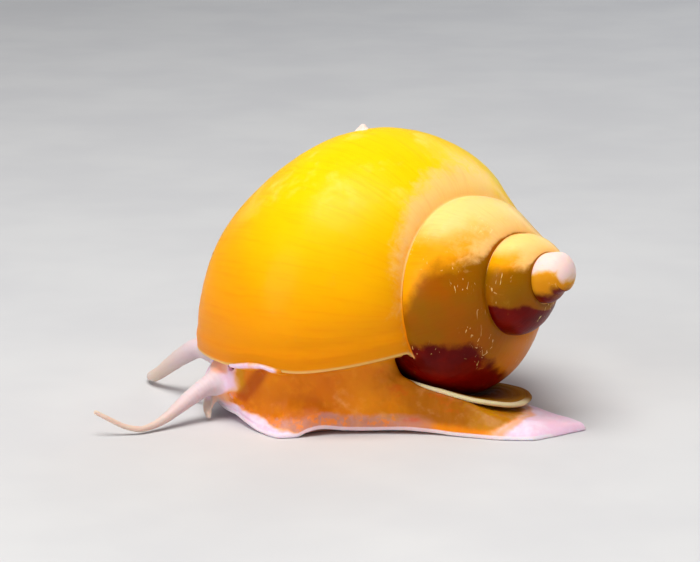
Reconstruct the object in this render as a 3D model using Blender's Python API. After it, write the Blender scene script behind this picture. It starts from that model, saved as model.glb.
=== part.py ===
"""Apple snail, life size, at rest on a flat floor.

Metres, +Z up, floor at z = 0.  The animal heads towards -X, its left side is
towards -Y, the spire of the shell points to +X, -Y and a little up.
Lengths below are named in millimetres and turned into metres by MM.
"""
import math

import bmesh
import bpy
import numpy as np
from mathutils import Matrix, Vector
from mathutils.bvhtree import BVHTree

MM = 0.001
GAP = 0.32                      # clearance between neighbouring solids, mm
CENTRE = (-0.8738, 5.7272)     # plan centre of the whole animal, mm; moved to the origin

# ---------------------------------------------------------------- shell sizes
SHELL_SIZE = 39.13              # generating scale of the spiral, mm
SHELL_APEX = (23.080, -8.190, 17.904)   # start of the coiling axis, mm
AXIS_TURN = 0.7141              # axis turned from +X towards -Y, rad
AXIS_LIFT = 0.2094              # axis raised above the floor plane, rad
WHORL_RATE = 1.8782             # growth of the whorl per full turn
RATE_DRIFT = -0.0208            # allometry of the growth
TALL_DRIFT = -0.0212            # extra lengthening of the spire
RING_R = 0.3333                 # whorl centre from the axis
RING_H = 0.7399                 # whorl centre down the axis
HALF_W = 0.2058                 # whorl half width
HALF_T = 0.3398                 # whorl half height
TILT = -0.2114                  # tilt of the whorl section
EGG = -0.0229                   # egg shape of the section
SQUARE = 0.0409                 # slight shoulder of the section
TH_END = -2.5167                # angle at which the whorl ends
LIP_LAG = 0.504                 # how far the base of the lip lags behind
LIP_LAG_POWER = 0.4345
APEX_BULB = 0.0698              # blunt first whorl
TURNS = 4.25                    # turns that show
BASE_POLE = 0.93                # bottom of the umbilicus, down the axis
BASE_EDGE = (52.0, 100.0)       # section angle where the base turns in: start and end of the last turn, deg
STEPS = 36                      # steps per turn
BAND = 8                        # steps across a whorl between its sutures
BASE = 8                        # steps from the last suture line to the umbilicus
DIMPLE = 3                      # of these, steps across the base to the axis
BASE_ROUND = 0.9                # how flat the base meets the axis
INNER_LIP = 2                   # base steps that the aperture takes in

# ----------------------------------------------------------------- soft sizes
SOLE_RIM = 0.55                 # thickness of the foot at its margin
FRONT_RIM = 1.05                # thickness of the front edge of the foot
OPERC_C = (10.9, 1.0)           # operculum, plan centre
OPERC_R = (8.3, 6.5)            # operculum, half length and half width
OPERC_T = 0.6                   # operculum thickness
EYE_R = 0.46                    # eyeball radius


# ------------------------------------------------------------------- helpers
def clear_scene():
    for ob in list(bpy.data.objects):
        bpy.data.objects.remove(ob, do_unlink=True)


def collection(name):
    col = bpy.data.collections.new(name)
    bpy.context.scene.collection.children.link(col)
    return col


def material(name, colour, rough, metal=0.0):
    mat = bpy.data.materials.new(name)
    mat.use_nodes = True
    bsdf = mat.node_tree.nodes["Principled BSDF"]
    bsdf.inputs["Base Color"].default_value = (*colour, 1.0)
    bsdf.inputs["Roughness"].default_value = rough
    bsdf.inputs["Metallic"].default_value = metal
    mat.diffuse_color = (*colour, 1.0)
    return mat


def smooth(x):
    x = min(1.0, max(0.0, x))
    return x * x * (3.0 - 2.0 * x)


def table(x, rows):
    """Monotone cubic curve through a short table of (x, value...) rows."""
    xs = [r[0] for r in rows]
    ys = np.array([r[1:] for r in rows], float)
    if x <= xs[0]:
        return ys[0]
    if x >= xs[-1]:
        return ys[-1]
    d = [(ys[i + 1] - ys[i]) / (xs[i + 1] - xs[i]) for i in range(len(xs) - 1)]
    m = [d[0]]
    for i in range(1, len(xs) - 1):
        same = d[i - 1] * d[i] > 0
        with np.errstate(divide="ignore", invalid="ignore"):
            h = np.where(same, 2.0 * d[i - 1] * d[i] / (d[i - 1] + d[i]), 0.0)
        m.append(np.nan_to_num(h))
    m.append(d[-1])
    i = max(k for k in range(len(xs) - 1) if xs[k] <= x)
    h = xs[i + 1] - xs[i]
    t = (x - xs[i]) / h
    return ((1 + 2 * t) * (1 - t) ** 2 * ys[i] + t * (1 - t) ** 2 * h * m[i]
            + t * t * (3 - 2 * t) * ys[i + 1] + t * t * (t - 1) * h * m[i + 1])


def mesh_object(name, verts, faces, col, mat=None, weld=0.002):
    """A closed mesh from vertices in mm; loose doubles are welded."""
    me = bpy.data.meshes.new(name)
    bm = bmesh.new()
    vs = [bm.verts.new(Vector(v) * MM) for v in verts]
    for f in faces:
        keep = []
        for i in f:
            if not keep or vs[i] is not keep[-1]:
                keep.append(vs[i])
        if len(set(keep)) >= 3:
            try:
                bm.faces.new(keep)
            except ValueError:
                pass
    bmesh.ops.remove_doubles(bm, verts=bm.verts, dist=weld * MM)
    bmesh.ops.dissolve_degenerate(bm, edges=bm.edges, dist=1e-7)
    bmesh.ops.recalc_face_normals(bm, faces=bm.faces)
    bmesh.ops.triangulate(bm, faces=[f for f in bm.faces if len(f.verts) > 4])
    bm.to_mesh(me)
    bm.free()
    me.shade_smooth()
    ob = bpy.data.objects.new(name, me)
    col.objects.link(ob)
    if mat:
        me.materials.append(mat)
    return ob


def loft(rings, cap_a=True, cap_b=True):
    """Rings of equal length joined in order; caps are fans to a middle point."""
    n = len(rings[0])
    verts = [p for r in rings for p in r]
    faces = []
    for i in range(len(rings) - 1):
        for j in range(n):
            k = (j + 1) % n
            faces.append((i * n + j, i * n + k, (i + 1) * n + k, (i + 1) * n + j))
    for flag, i in ((cap_a, 0), (cap_b, len(rings) - 1)):
        if flag:
            mid = tuple(np.mean(np.array(rings[i]), axis=0))
            verts.append(mid)
            m = len(verts) - 1
            for j in range(n):
                faces.append((i * n + j, i * n + (j + 1) % n, m))
    return verts, faces


def frames(path):
    """Parallel-transport frames along a list of points."""
    P = [Vector(p) for p in path]
    T = []
    for i in range(len(P)):
        a, b = P[max(0, i - 1)], P[min(len(P) - 1, i + 1)]
        T.append((b - a).normalized())
    side = T[0].cross(Vector((0, 0, 1)))
    if side.length < 1e-3:
        side = Vector((0, 1, 0))
    side.normalize()
    out = []
    for i, t in enumerate(T):
        side = (side - t * side.dot(t)).normalized()
        out.append((P[i], t, side.copy(), t.cross(side).normalized() * -1.0))
    return out


def curve_points(rows, count):
    """Smooth curve through rows (x, y, z, r1, r2) at equal chord steps."""
    pts = np.array([r[:3] for r in rows], float)
    seg = np.linalg.norm(np.diff(pts, axis=0), axis=1)
    s = np.concatenate([[0], np.cumsum(seg)])
    full = [(s[i], *rows[i]) for i in range(len(rows))]
    xs = np.array([f[0] for f in full])
    val = np.array([f[1:] for f in full])
    out = []
    for q in np.linspace(0, s[-1], count):
        i = int(np.clip(np.searchsorted(xs, q, side="right") - 1, 0, len(xs) - 2))
        p0 = val[max(0, i - 1)]
        p1, p2 = val[i], val[i + 1]
        p3 = val[min(len(val) - 1, i + 2)]
        t = (q - xs[i]) / (xs[i + 1] - xs[i])
        out.append(0.5 * ((2 * p1) + (p2 - p0) * t + (2 * p0 - 5 * p1 + 4 * p2 - p3) * t * t
                          + (3 * p1 - p0 - 3 * p2 + p3) * t ** 3))
    return np.array(out)


def limb_rings(rows, count, sides, lo=0.0, hi=1.0, grow=0.0, round_end=False):
    """Oval rings along a curve, between the fractions lo and hi of its length."""
    full = curve_points(rows, 81)
    seg = np.linalg.norm(np.diff(full[:, :3], axis=0), axis=1)
    s = np.concatenate([[0], np.cumsum(seg)])
    q = np.linspace(lo * s[-1], hi * s[-1], count)
    val = np.stack([np.interp(q, s, full[:, k]) for k in range(full.shape[1])], 1)
    fr = frames(val[:, :3])
    rings = []
    for k, (p, t, side, upw) in enumerate(fr):
        push = 0.0
        if k == 0:
            push = -grow
        if k == len(fr) - 1:
            push = grow
        ra, rb = val[k, 3] + grow, val[k, 4] + grow
        ring = []
        for j in range(sides):
            w = 2 * math.pi * j / sides
            v = p + t * push + side * (ra * math.cos(w)) + upw * (rb * math.sin(w))
            ring.append(tuple(v))
        rings.append(ring)
    if round_end:
        p, t, side, upw = fr[-1]
        ra, rb = val[-1, 3] + grow, val[-1, 4] + grow
        for f, d in ((0.80, 0.55), (0.42, 0.90)):
            rings.append([tuple(p + t * (min(ra, rb) * d + grow)
                                + side * (ra * f * math.cos(2 * math.pi * j / sides))
                                + upw * (rb * f * math.sin(2 * math.pi * j / sides)))
                          for j in range(sides)])
    return rings


def limb(name, rows, count, sides, col, mat, lo=0.0, hi=1.0, grow=0.0, round_end=False):
    v, f = loft(limb_rings(rows, count, sides, lo, hi, grow, round_end))
    return mesh_object(name, v, f, col, mat)


def inflated(ob, amount, col, name):
    """A copy of a solid with every vertex moved out along its normal."""
    me = ob.data.copy()
    me.name = name
    nor = [v.normal.copy() for v in me.vertices]
    for v, n in zip(me.vertices, nor):
        v.co += n * (amount * MM)
    new = bpy.data.objects.new(name, me)
    col.objects.link(new)
    new.hide_render = True
    new.display_type = "WIRE"
    return new


def cut(ob, cutter, op="DIFFERENCE"):
    mod = ob.modifiers.new(op.lower() + "_" + cutter.name, "BOOLEAN")
    mod.operation = op
    mod.solver = "EXACT"
    mod.object = cutter
    return mod


def cleaned(ob, dist):
    """The evaluated mesh with near doubles welded and only its largest piece kept."""
    bpy.context.view_layer.update()
    dg = bpy.context.evaluated_depsgraph_get()
    me = bpy.data.meshes.new_from_object(ob.evaluated_get(dg))
    bm = bmesh.new()
    bm.from_mesh(me)
    bpy.data.meshes.remove(me)
    if dist > 0.0:
        bmesh.ops.remove_doubles(bm, verts=bm.verts, dist=dist * MM)
        bmesh.ops.dissolve_degenerate(bm, edges=bm.edges, dist=0.5 * dist * MM)
    bmesh.ops.triangulate(bm, faces=[f for f in bm.faces if len(f.verts) > 4])
    seen, parts = set(), []
    for f in bm.faces:
        if f in seen:
            continue
        stack, piece = [f], []
        seen.add(f)
        while stack:
            g = stack.pop()
            piece.append(g)
            for e in g.edges:
                for h in e.link_faces:
                    if h not in seen:
                        seen.add(h)
                        stack.append(h)
        parts.append(piece)
    if len(parts) > 1:
        parts.sort(key=lambda p: sum(f.calc_area() for f in p), reverse=True)
        drop = [f for p in parts[1:] for f in p]
        bmesh.ops.delete(bm, geom=drop, context="FACES")
        loose = [v for v in bm.verts if not v.link_faces]
        bmesh.ops.delete(bm, geom=loose, context="VERTS")
    if len(bm.faces):
        bmesh.ops.recalc_face_normals(bm, faces=bm.faces)
    return bm


def crossings(bm):
    """How many pairs of faces without a shared vertex cross."""
    bm.faces.ensure_lookup_table()
    tree = BVHTree.FromBMesh(bm)
    n = 0
    for a, b in tree.overlap(tree):
        if a < b and not set(bm.faces[a].verts) & set(bm.faces[b].verts):
            n += 1
    return n


def apply_all(ob):
    """Turn the cut shape into the object's own mesh, with the solver and the
    weld that leave it closed, whole and free of crossings."""
    bm = bmesh.new()
    bm.from_mesh(ob.data)
    whole = bm.calc_volume()
    bm.free()
    best = None
    for rank, (solver, dist) in enumerate((("EXACT", 0.004), ("EXACT", 0.001), ("MANIFOLD", 0.004),
                                           ("MANIFOLD", 0.001), ("EXACT", 0.0), ("MANIFOLD", 0.0))):
        for mod in ob.modifiers:
            mod.solver = solver
        bm = cleaned(ob, dist)
        split = sum(1 for e in bm.edges if len(e.link_faces) != 2)
        kept = bm.calc_volume() > 0.15 * whole
        score = (0 if kept else 1, split, crossings(bm), rank)
        if best is None or score < best[0]:
            if best:
                best[1].free()
            best = (score, bm)
        else:
            bm.free()
        if best[0][:3] == (0, 0, 0):
            break
    bm = best[1]
    ob.modifiers.clear()
    bm.to_mesh(ob.data)
    bm.free()
    ob.data.shade_smooth()


# --------------------------------------------------------------------- shell
AXIS = Vector((math.cos(AXIS_LIFT) * math.cos(AXIS_TURN),
               -math.cos(AXIS_LIFT) * math.sin(AXIS_TURN), math.sin(AXIS_LIFT)))
AX_U = Vector((0, 0, 1)).cross(AXIS).normalized()
AX_V = AXIS.cross(AX_U)


def section(t):
    c, s = math.cos(t), math.sin(t)
    x = HALF_W * ((1 - SQUARE) * c + SQUARE * math.cos(3 * t)) * (1 + EGG * s)
    y = HALF_T * ((1 - SQUARE) * s - SQUARE * math.sin(3 * t))
    return x * math.cos(TILT) - y * math.sin(TILT), y * math.cos(TILT) + x * math.sin(TILT)


def whorl(th, t):
    """Distance from the axis and distance down the axis of a whorl point."""
    n = (th - TH_END) / (2 * math.pi)
    s = math.exp(math.log(WHORL_RATE) * n + RATE_DRIFT * n * n)
    sh = s * math.exp(TALL_DRIFT * n)
    st = (s ** 2.5 + APEX_BULB ** 2.5) ** 0.4
    x, y = section(t)
    return s * RING_R + st * x, sh * RING_H + st * y


def spin(th, r, h):
    d = AX_U * math.cos(th) + AX_V * math.sin(th)
    p = Vector(SHELL_APEX) + (d * r - AXIS * h) * SHELL_SIZE
    return tuple(p)


def suture(th, guess):
    """Section angles (this turn, turn inside it) where the two turns meet."""
    t1, t2 = guess
    for _ in range(30):
        r1, h1 = whorl(th, t1)
        r0, h0 = whorl(th - 2 * math.pi, t2)
        e = np.array([r1 - r0, h1 - h0])
        if np.abs(e).max() < 1e-11:
            break
        d = 1e-6
        ra, ha = whorl(th, t1 + d)
        rb, hb = whorl(th - 2 * math.pi, t2 + d)
        J = np.array([[(ra - r1) / d, -(rb - r0) / d], [(ha - h1) / d, -(hb - h0) / d]])
        step = np.linalg.solve(J, e)
        step = np.clip(step, -0.15, 0.15)
        t1, t2 = t1 - step[0], t2 - step[1]
    return t1, t2


def find_first_suture():
    """Outermost meeting of the last turn with the one inside it."""
    best = None
    for a in np.linspace(math.radians(230), math.radians(330), 41):
        for b in np.linspace(math.radians(0), math.radians(110), 45):
            r1, h1 = whorl(TH_END, a)
            r0, h0 = whorl(TH_END - 2 * math.pi, b)
            d = math.hypot(r1 - r0, h1 - h0)
            if best is None or d < best[0]:
                best = (d, a, b)
    return suture(TH_END, best[1:])


def lip_lag(frac):
    return LIP_LAG * min(1.0, max(0.0, frac)) ** LIP_LAG_POWER


def dimple(q, t, k):
    """Base of the whorl: from its edge at t, without a crease, to the axis."""
    f = k / (DIMPLE + 1)
    r, h = whorl(q, t)
    r2, h2 = whorl(q, t + 0.01)
    chord = math.hypot(r, BASE_POLE - h)
    m = chord / math.hypot(r2 - r, h2 - h)
    a, b, c, d = (2 * f ** 3 - 3 * f * f + 1, f ** 3 - 2 * f * f + f, -2 * f ** 3 + 3 * f * f, f ** 3 - f * f)
    return (a * r + b * m * (r2 - r) - d * BASE_ROUND * chord,
            a * h + b * m * (h2 - h) + c * BASE_POLE)


def shell_mesh():
    """One ribbon wound along the sutures, a cap at the apex, the base of the
    last turn drawn in to the umbilicus, and an aperture with a recess."""
    n_rib = int(round(TURNS * STEPS))
    th = [TH_END - 2 * math.pi * (n_rib - i) / STEPS for i in range(n_rib + 1)]
    up, low = {}, {}
    g = find_first_suture()
    for i in range(n_rib, STEPS - 1, -1):       # from the lip inwards
        g = suture(th[i], g)
        up[i] = g[0]
        low[i - STEPS] = g[1]
    for i in range(n_rib - STEPS + 1, n_rib + 1):   # last turn: same line carried on
        low[i] = low[n_rib - STEPS]
    # first turn: the upper edge slides from the lower suture to the first upper one
    t_a, t_b = low[0] - 2 * math.pi * 0, up[STEPS] - 2 * math.pi
    for i in range(0, STEPS):
        f = i / STEPS
        up[i] = (1 - f) * t_a + f * t_b + 2 * math.pi
    verts, index = [], {}

    def add(key, p):
        if key not in index:
            index[key] = len(verts)
            verts.append(p)
        return index[key]

    def span(i, j):
        a, b = up[i] - 2 * math.pi, low[i]
        return a + (b - a) * j / BAND

    # lip: how far each point of the last column is set back
    col = [span(n_rib, j) for j in range(BAND + 1)]
    edge = [math.radians(a) for a in BASE_EDGE]
    t_end = edge[1]
    WALL_STEPS = BASE - DIMPLE
    col += [low[n_rib] + (t_end - low[n_rib]) * (k + 1) / WALL_STEPS for k in range(WALL_STEPS)]
    rh = [whorl(TH_END, t) for t in col]
    rh += [dimple(TH_END, t_end, k + 1) for k in range(DIMPLE)]
    arc = np.concatenate([[0], np.cumsum([math.hypot(rh[k + 1][0] - rh[k][0], rh[k + 1][1] - rh[k][1])
                                          for k in range(len(rh) - 1)])])
    whole = 0.0                                   # arc over which the lag grows
    fine = [whorl(TH_END, col[0] + 2 * math.pi * 0.62 * k / 200) for k in range(201)]
    for k in range(200):
        whole += math.hypot(fine[k + 1][0] - fine[k][0], fine[k + 1][1] - fine[k][1])
    lag_end = [lip_lag(a / whole) for a in arc]
    lag_start = [LIP_LAG * (k / BASE) ** 0.5 for k in range(BASE + 1)]

    def ribbon(i, j):
        if j == BAND and i + STEPS <= n_rib:
            return ribbon(i + STEPS, 0)
        if j == 0 and i > STEPS - 1 and (i, j) not in index:
            r, h = whorl(th[i], up[i])
            return add((i, 0), spin(th[i], r, h))
        back = 0.0
        if i > n_rib - STEPS:
            f = (i - (n_rib - STEPS)) / STEPS
            back = lag_end[j] * smooth((f - 0.35) / 0.65)
        t = span(i, j)
        q = th[i] - back
        r, h = whorl(q, t)
        return add((i, j), spin(q, r, h))

    faces = []
    for i in range(n_rib):
        for j in range(BAND):
            faces.append((ribbon(i, j), ribbon(i + 1, j), ribbon(i + 1, j + 1), ribbon(i, j + 1)))
    # apex cap
    loop = [ribbon(i, 0) for i in range(STEPS)]
    ctr = np.mean([verts[k] for k in loop], axis=0)
    top = Vector(spin(0.0, 0.0, whorl(th[STEPS // 2], math.radians(268))[1] - 0.001))
    prev = loop
    for f in (0.66, 0.33):
        ring = []
        for k in loop:
            p = Vector(verts[k]) * f + Vector(ctr) * (1 - f)
            lift = (top - Vector(ctr)).dot(AXIS) * math.sqrt(max(0.0, 1 - f * f))
            ring.append(len(verts))
            verts.append(tuple(p + AXIS * lift))
        for k in range(STEPS):
            m = (k + 1) % STEPS
            faces.append((prev[k], prev[m], ring[m], ring[k]))
        prev = ring
    verts.append(tuple(Vector(ctr) + AXIS * (top - Vector(ctr)).dot(AXIS)))
    for k in range(STEPS):
        faces.append((prev[k], prev[(k + 1) % STEPS], len(verts) - 1))

    # base of the last turn
    i0 = n_rib - STEPS

    def base(i, k):
        if k == 0:
            return ribbon(i, BAND)
        f = (i - i0) / STEPS
        w = (i - i0) / STEPS
        t = low[i] + (edge[0] + (edge[1] - edge[0]) * w - low[i]) * min(k, WALL_STEPS) / WALL_STEPS
        q0 = th[i0] - lag_start[k]
        q1 = TH_END - lag_end[BAND + k]
        q = q0 + (q1 - q0) * f
        r, h = dimple(q, t, k - WALL_STEPS) if k > WALL_STEPS else whorl(q, t)
        return add(("b", i, k), spin(q, r, h))

    for i in range(i0, n_rib):
        for k in range(BASE):
            faces.append((base(i, k), base(i + 1, k), base(i + 1, k + 1), base(i, k + 1)))
    pole = len(verts)
    verts.append(spin(0.0, 0.0, BASE_POLE))
    for i in range(i0, n_rib):
        faces.append((base(i, BASE), base(i + 1, BASE), pole))

    # aperture: outer loop, then loops drawn in and pushed back into the whorl
    last = WALL_STEPS + INNER_LIP
    outer = [ribbon(n_rib, j) for j in range(BAND + 1)] + [base(n_rib, k) for k in range(1, last + 1)]
    inner = [base(i0, k) for k in range(last, 0, -1)]
    a, b = Vector(verts[outer[-1]]), Vector(verts[inner[0]])
    mids = []
    for f in (0.2, 0.4, 0.6, 0.8):
        mids.append(len(verts))
        verts.append(tuple(a.lerp(b, f)))
    ring = outer + mids + inner
    # the wall between the inner lip and the axis
    rows = [[outer[-1]] + mids + [inner[0]]]
    for k in range(last + 1, BASE + 1):
        rows.append([base(n_rib, k), base(i0, k)])
    fan = rows[0]
    for k in range(len(fan) - 1):
        faces.append((fan[k], fan[k + 1], rows[1][0] if k < 2 else rows[1][1]))
    faces.append((fan[2], rows[1][1], rows[1][0]))
    for k in range(1, len(rows) - 1):
        faces.append((rows[k][0], rows[k][1], rows[k + 1][1], rows[k + 1][0]))
    faces.append((rows[-1][0], rows[-1][1], pole))
    P = np.array([verts[k] for k in ring])
    loops = aperture_loops(P)
    prev = ring
    for L in loops:
        new = []
        for p in L:
            new.append(len(verts))
            verts.append(tuple(p))
        n = len(ring)
        for k in range(n):
            m = (k + 1) % n
            faces.append((prev[k], prev[m], new[m], new[k]))
        prev = new
    verts.append(tuple(np.mean([verts[k] for k in prev], axis=0)))
    for k in range(len(prev)):
        faces.append((prev[k], prev[(k + 1) % len(prev)], len(verts) - 1))
    return verts, faces, P


def turn_back(p, angle):
    """Turn a point back along the spiral, shrinking it as the whorl does."""
    q = Vector(p) - Vector(SHELL_APEX)
    h = -q.dot(AXIS)
    x, y = q.dot(AX_U), q.dot(AX_V)
    k = WHORL_RATE ** (-angle / (2 * math.pi))
    c, s = math.cos(-angle), math.sin(-angle)
    x, y = (x * c - y * s) * k, (x * s + y * c) * k
    return np.array(Vector(SHELL_APEX) + AX_U * x + AX_V * y - AXIS * (h * k))


def drawn_in(P, inset):
    """The aperture outline moved in by a distance, towards its middle."""
    ctr = P.mean(axis=0)
    out = []
    for p in P:
        d = ctr - p
        out.append(p + d * min(0.92, inset / np.linalg.norm(d)))
    return np.array(out)


def aperture_loops(P):
    out = []
    for inset, angle in ((1.0, 0.0), (1.25, 0.07), (1.45, 0.22), (2.4, 0.33), (4.6, 0.36)):
        out.append([turn_back(p, angle) for p in drawn_in(P, inset)])
    return out


# ---------------------------------------------------------------------- foot
#         x      near y  far y
MARGIN = [(-12.0, -1.0, 8.4),
          (-9.5, -5.2, 11.0),
          (-7.2, -7.4, 12.0),
          (-4.6, -6.9, 12.1),
          (-1.5, -5.9, 11.6),
          (3.0, -5.6, 11.0),
          (8.0, -5.9, 10.2),
          (12.0, -7.0, 9.0),
          (16.0, -8.1, 6.4),
          (18.5, -8.2, 4.2),
          (21.0, -6.9, 1.6),
          (23.3, -5.2, -1.6),
          (24.7, -4.2, -3.6)]
FRONT_X = -13.7                 # foremost point of the foot
FRONT_Y = 3.4                   # and its side position
#         x     height of the side wall top near, far
WALL = [(-13.6, 1.05, 1.05), (-11.0, 1.35, 1.35), (-8.0, 2.2, 2.0), (-3.0, 3.3, 2.8),
        (3.0, 4.8, 3.0), (5.7, 5.8, 2.9), (8.0, 5.3, 2.6), (11.0, 4.3, 2.2), (13.0, 3.2, 1.9),
        (15.5, 2.3, 1.6), (17.5, 1.8, 1.35), (20.0, 1.45, 1.15), (23.0, 1.0, 0.9), (24.7, 0.7, 0.7)]


def foot_plan(u, w):
    """Plan point for a station u along the foot and w across it (-1 near, 1 far)."""
    x = -12.0 + 36.7 * u
    near, far = table(x, MARGIN)
    y = 0.5 * (near + far) + 0.5 * (far - near) * w
    if x < -4.0:
        f = smooth((-4.0 - x) / 8.0)
        # the front edge is bowed forward between its two rounded corners
        x -= f * (1 - w * w) * (-12.0 - FRONT_X)
    return x, y


def foot_top(x, y, u, w, operc=None):
    hn, hf = table(x, WALL)
    side = 0.5 - 0.5 * w
    crest = hn * side + hf * (1 - side)
    rim = SOLE_RIM + (FRONT_RIM - SOLE_RIM) * smooth((-7.0 - x) / 5.0)
    rise = 1 - abs(w)
    z = rim + (max(crest, rim) - rim) * smooth(rise / 0.20)
    # rounded front: the slope starts at the front edge too
    z = min(z, rim + 0.55 * max(0.0, x + 13.0) + 0.25)
    if operc is not None:
        lim = operc(x, y)
        if lim is not None:
            z = min(z, lim)
    return z


def slab(us, ws, operc=None):
    """A closed slab over the sole: flat underside, shaped top, rounded rim."""
    nu, nw = len(us), len(ws)
    verts, faces = [], []
    for u in us:
        for w in ws:
            x, y = foot_plan(u, w)
            verts.append((x, y, foot_top(x, y, u, w, operc)))
    for i in range(nu - 1):
        for j in range(nw - 1):
            faces.append((i * nw + j, i * nw + j + 1, (i + 1) * nw + j + 1, (i + 1) * nw + j))
    rim = ([(i, 0) for i in range(nu)] + [(nu - 1, j) for j in range(1, nw)]
           + [(i, nw - 1) for i in range(nu - 2, -1, -1)] + [(0, j) for j in range(nw - 2, 0, -1)])
    N, n = len(verts), len(rim)
    P = np.array([foot_plan(us[i], ws[j]) for i, j in rim])
    for k, (i, j) in enumerate(rim):
        half = 0.5 * (foot_plan(us[i], 1.0)[1] - foot_plan(us[i], -1.0)[1])
        inset = 0.30 * min(1.0, half / 1.6)
        if i == nu - 1 and us[-1] > 0.99:
            mid = 0.5 * (foot_plan(us[i], 1.0)[1] + foot_plan(us[i], -1.0)[1])
            x, y = P[k][0] - 0.06, mid + (P[k][1] - mid) * 0.7
        elif (i == 0 and us[0] > 0.0) or i == nu - 1:
            x, y = P[k]
            if j in (0, nw - 1):
                y += inset if j == 0 else -inset
        else:
            d = P[(k + 1) % n] - P[k - 1]
            d = d / np.linalg.norm(d)
            x, y = P[k] + np.array([-d[1], d[0]]) * inset
        verts.append((x, y, 0.0))
    for k in range(n):
        m = (k + 1) % n
        ka, kb = rim[k][0] * nw + rim[k][1], rim[m][0] * nw + rim[m][1]
        faces.append((ka, kb, N + m, N + k))
    faces.append(tuple(N + k for k in range(n))[::-1])
    return verts, faces


# ---------------------------------------------------------------------- main
clear_scene()
body = collection("apple_snail")
tools = collection("cutters")

M_SHELL = material("shell", (0.95, 0.55, 0.02), 0.25)
M_FOOT = material("foot_skin", (0.80, 0.42, 0.10), 0.45)
M_PALE = material("pale_skin", (0.92, 0.74, 0.72), 0.45)
M_MANTLE = material("mantle_skin", (0.72, 0.45, 0.12), 0.45)
M_OPERC = material("operculum_horn", (0.35, 0.20, 0.06), 0.40)
M_EYE = material("eye_dark", (0.02, 0.015, 0.015), 0.10)

# shell
sv, sf, APERTURE = shell_mesh()
shell = mesh_object("shell", sv, sf, body, M_SHELL)
shell_fat = inflated(shell, GAP, tools, "cut_shell")

bm = bmesh.new()
bm.from_mesh(shell.data)
shell_tree = BVHTree.FromBMesh(bm)
bm.free()


def under_shell(x, y, clearance):
    """Greatest height, in mm, that stays clear under the shell at a plan point."""
    best = 99.0
    for dx, dy in ((0, 0), (0.5, 0), (-0.5, 0), (0, 0.5), (0, -0.5)):
        hit = shell_tree.ray_cast(Vector(((x + dx) * MM, (y + dy) * MM, 0.0)), Vector((0, 0, 1)))
        if hit[0] is not None:
            best = min(best, hit[0].z / MM)
    return best - clearance


def operc_height(x, y):
    """Top of the operculum: a shallow dish that rises towards the head."""
    u = (x - OPERC_C[0]) / OPERC_R[0]
    v = (y - OPERC_C[1]) / OPERC_R[1]
    z = 2.55 + 0.15 * (u * u) + 1.25 * smooth((0.25 - u) / 1.3) * 1.6 - 0.50 * v + 0.42 * v * v
    # its near edge is turned up towards the head and down towards the tail
    z += (0.95 - 1.5 * smooth((u + 0.3) / 1.3)) * smooth((0.35 - v) / 1.2)
    return min(z, under_shell(x, y, GAP + 0.05))


def operc_outline(a, f=1.0, grow=0.0):
    x = OPERC_C[0] + (OPERC_R[0] * f + grow) * math.cos(a)
    y = OPERC_C[1] + (OPERC_R[1] * f + grow) * math.sin(a) * (1.0 + 0.10 * math.cos(a))
    return x, y


def operculum_rings(grow=0.0, sides=32):
    levels = (0.0, 0.3, 0.6, 0.85, 1.0)
    top, bot = [], []
    for f in levels[1:]:
        ring_t, ring_b = [], []
        for j in range(sides):
            a = 2 * math.pi * j / sides
            x, y = operc_outline(a, f, grow if f == 1.0 else 0.0)
            z = operc_height(x, y)
            edge = 0.12 if f == 1.0 else 0.0
            ring_t.append((x, y, z + grow - edge))
            ring_b.append((x, y, z - OPERC_T - grow + edge))
        top.append(ring_t)
        bot.append(ring_b)
    return top + bot[::-1]


operculum = mesh_object("operculum", *loft(operculum_rings()), body, M_OPERC)
operc_fat = mesh_object("cut_operculum", *loft(operculum_rings(GAP)), tools)
operc_fat.hide_render = True
operc_fat.display_type = "WIRE"


def operc_limit(x, y):
    u = (x - OPERC_C[0]) / (OPERC_R[0] + 0.5)
    v = (y - OPERC_C[1]) / (OPERC_R[1] + 0.5)
    if u * u + v * v < 1.12:
        return operc_height(x, y) - OPERC_T - GAP - 0.05
    return under_shell(x, y, GAP + 0.1)


# foot: three lengths of one slab, parted by thin gaps
WS = [-1.0, -0.92, -0.82, -0.68, -0.4, 0.0, 0.4, 0.68, 0.82, 0.92, 1.0]


def stations(x0, x1, count):
    return [((x0 + (x1 - x0) * i / (count - 1)) + 12.0) / 36.7 for i in range(count)]


FRONT_CUT, REAR_CUT = -6.2, 11.2
foot_front = mesh_object("foot_front", *slab(stations(-12.0, FRONT_CUT - GAP / 2, 7), WS, operc_limit), body, M_PALE)
foot_middle = mesh_object("foot_middle", *slab(stations(FRONT_CUT + GAP / 2, REAR_CUT - GAP / 2, 12), WS, operc_limit), body, M_FOOT)
foot_tail = mesh_object("foot_tail", *slab(stations(REAR_CUT + GAP / 2, 24.7, 10), WS, operc_limit), body, M_PALE)

# body stalk and mantle: rings that turn from an oval on the foot into the aperture
N_AP = len(APERTURE)
AP_CTR = APERTURE.mean(axis=0)


def over(trees, x, y):
    """Height, in mm, of the highest surface under a plan point."""
    best = 0.0
    for dx in (-0.35, 0.0, 0.35):
        for t in trees:
            hit = t.ray_cast(Vector(((x + dx) * MM, y * MM, 0.05)), Vector((0, 0, -1)))
            if hit[0] is not None:
                best = max(best, hit[0].z / MM)
    return best


def tree_of(ob):
    b = bmesh.new()
    b.from_mesh(ob.data)
    t = BVHTree.FromBMesh(b)
    b.free()
    return t


FOOT_TREES = [tree_of(foot_front), tree_of(foot_middle), tree_of(foot_tail)]
STALK_SIDES = 28
STALK_FRONT = -9.5              # front wall of the stalk
STALK_C = (-2.7, 1.9)           # plan centre of the stalk on the foot
STALK_R = (6.9, 6.7)            # and its half sizes
STALK_CORNER = (0.57, 0.25)     # how far its near rear corner reaches out round the operculum


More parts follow.
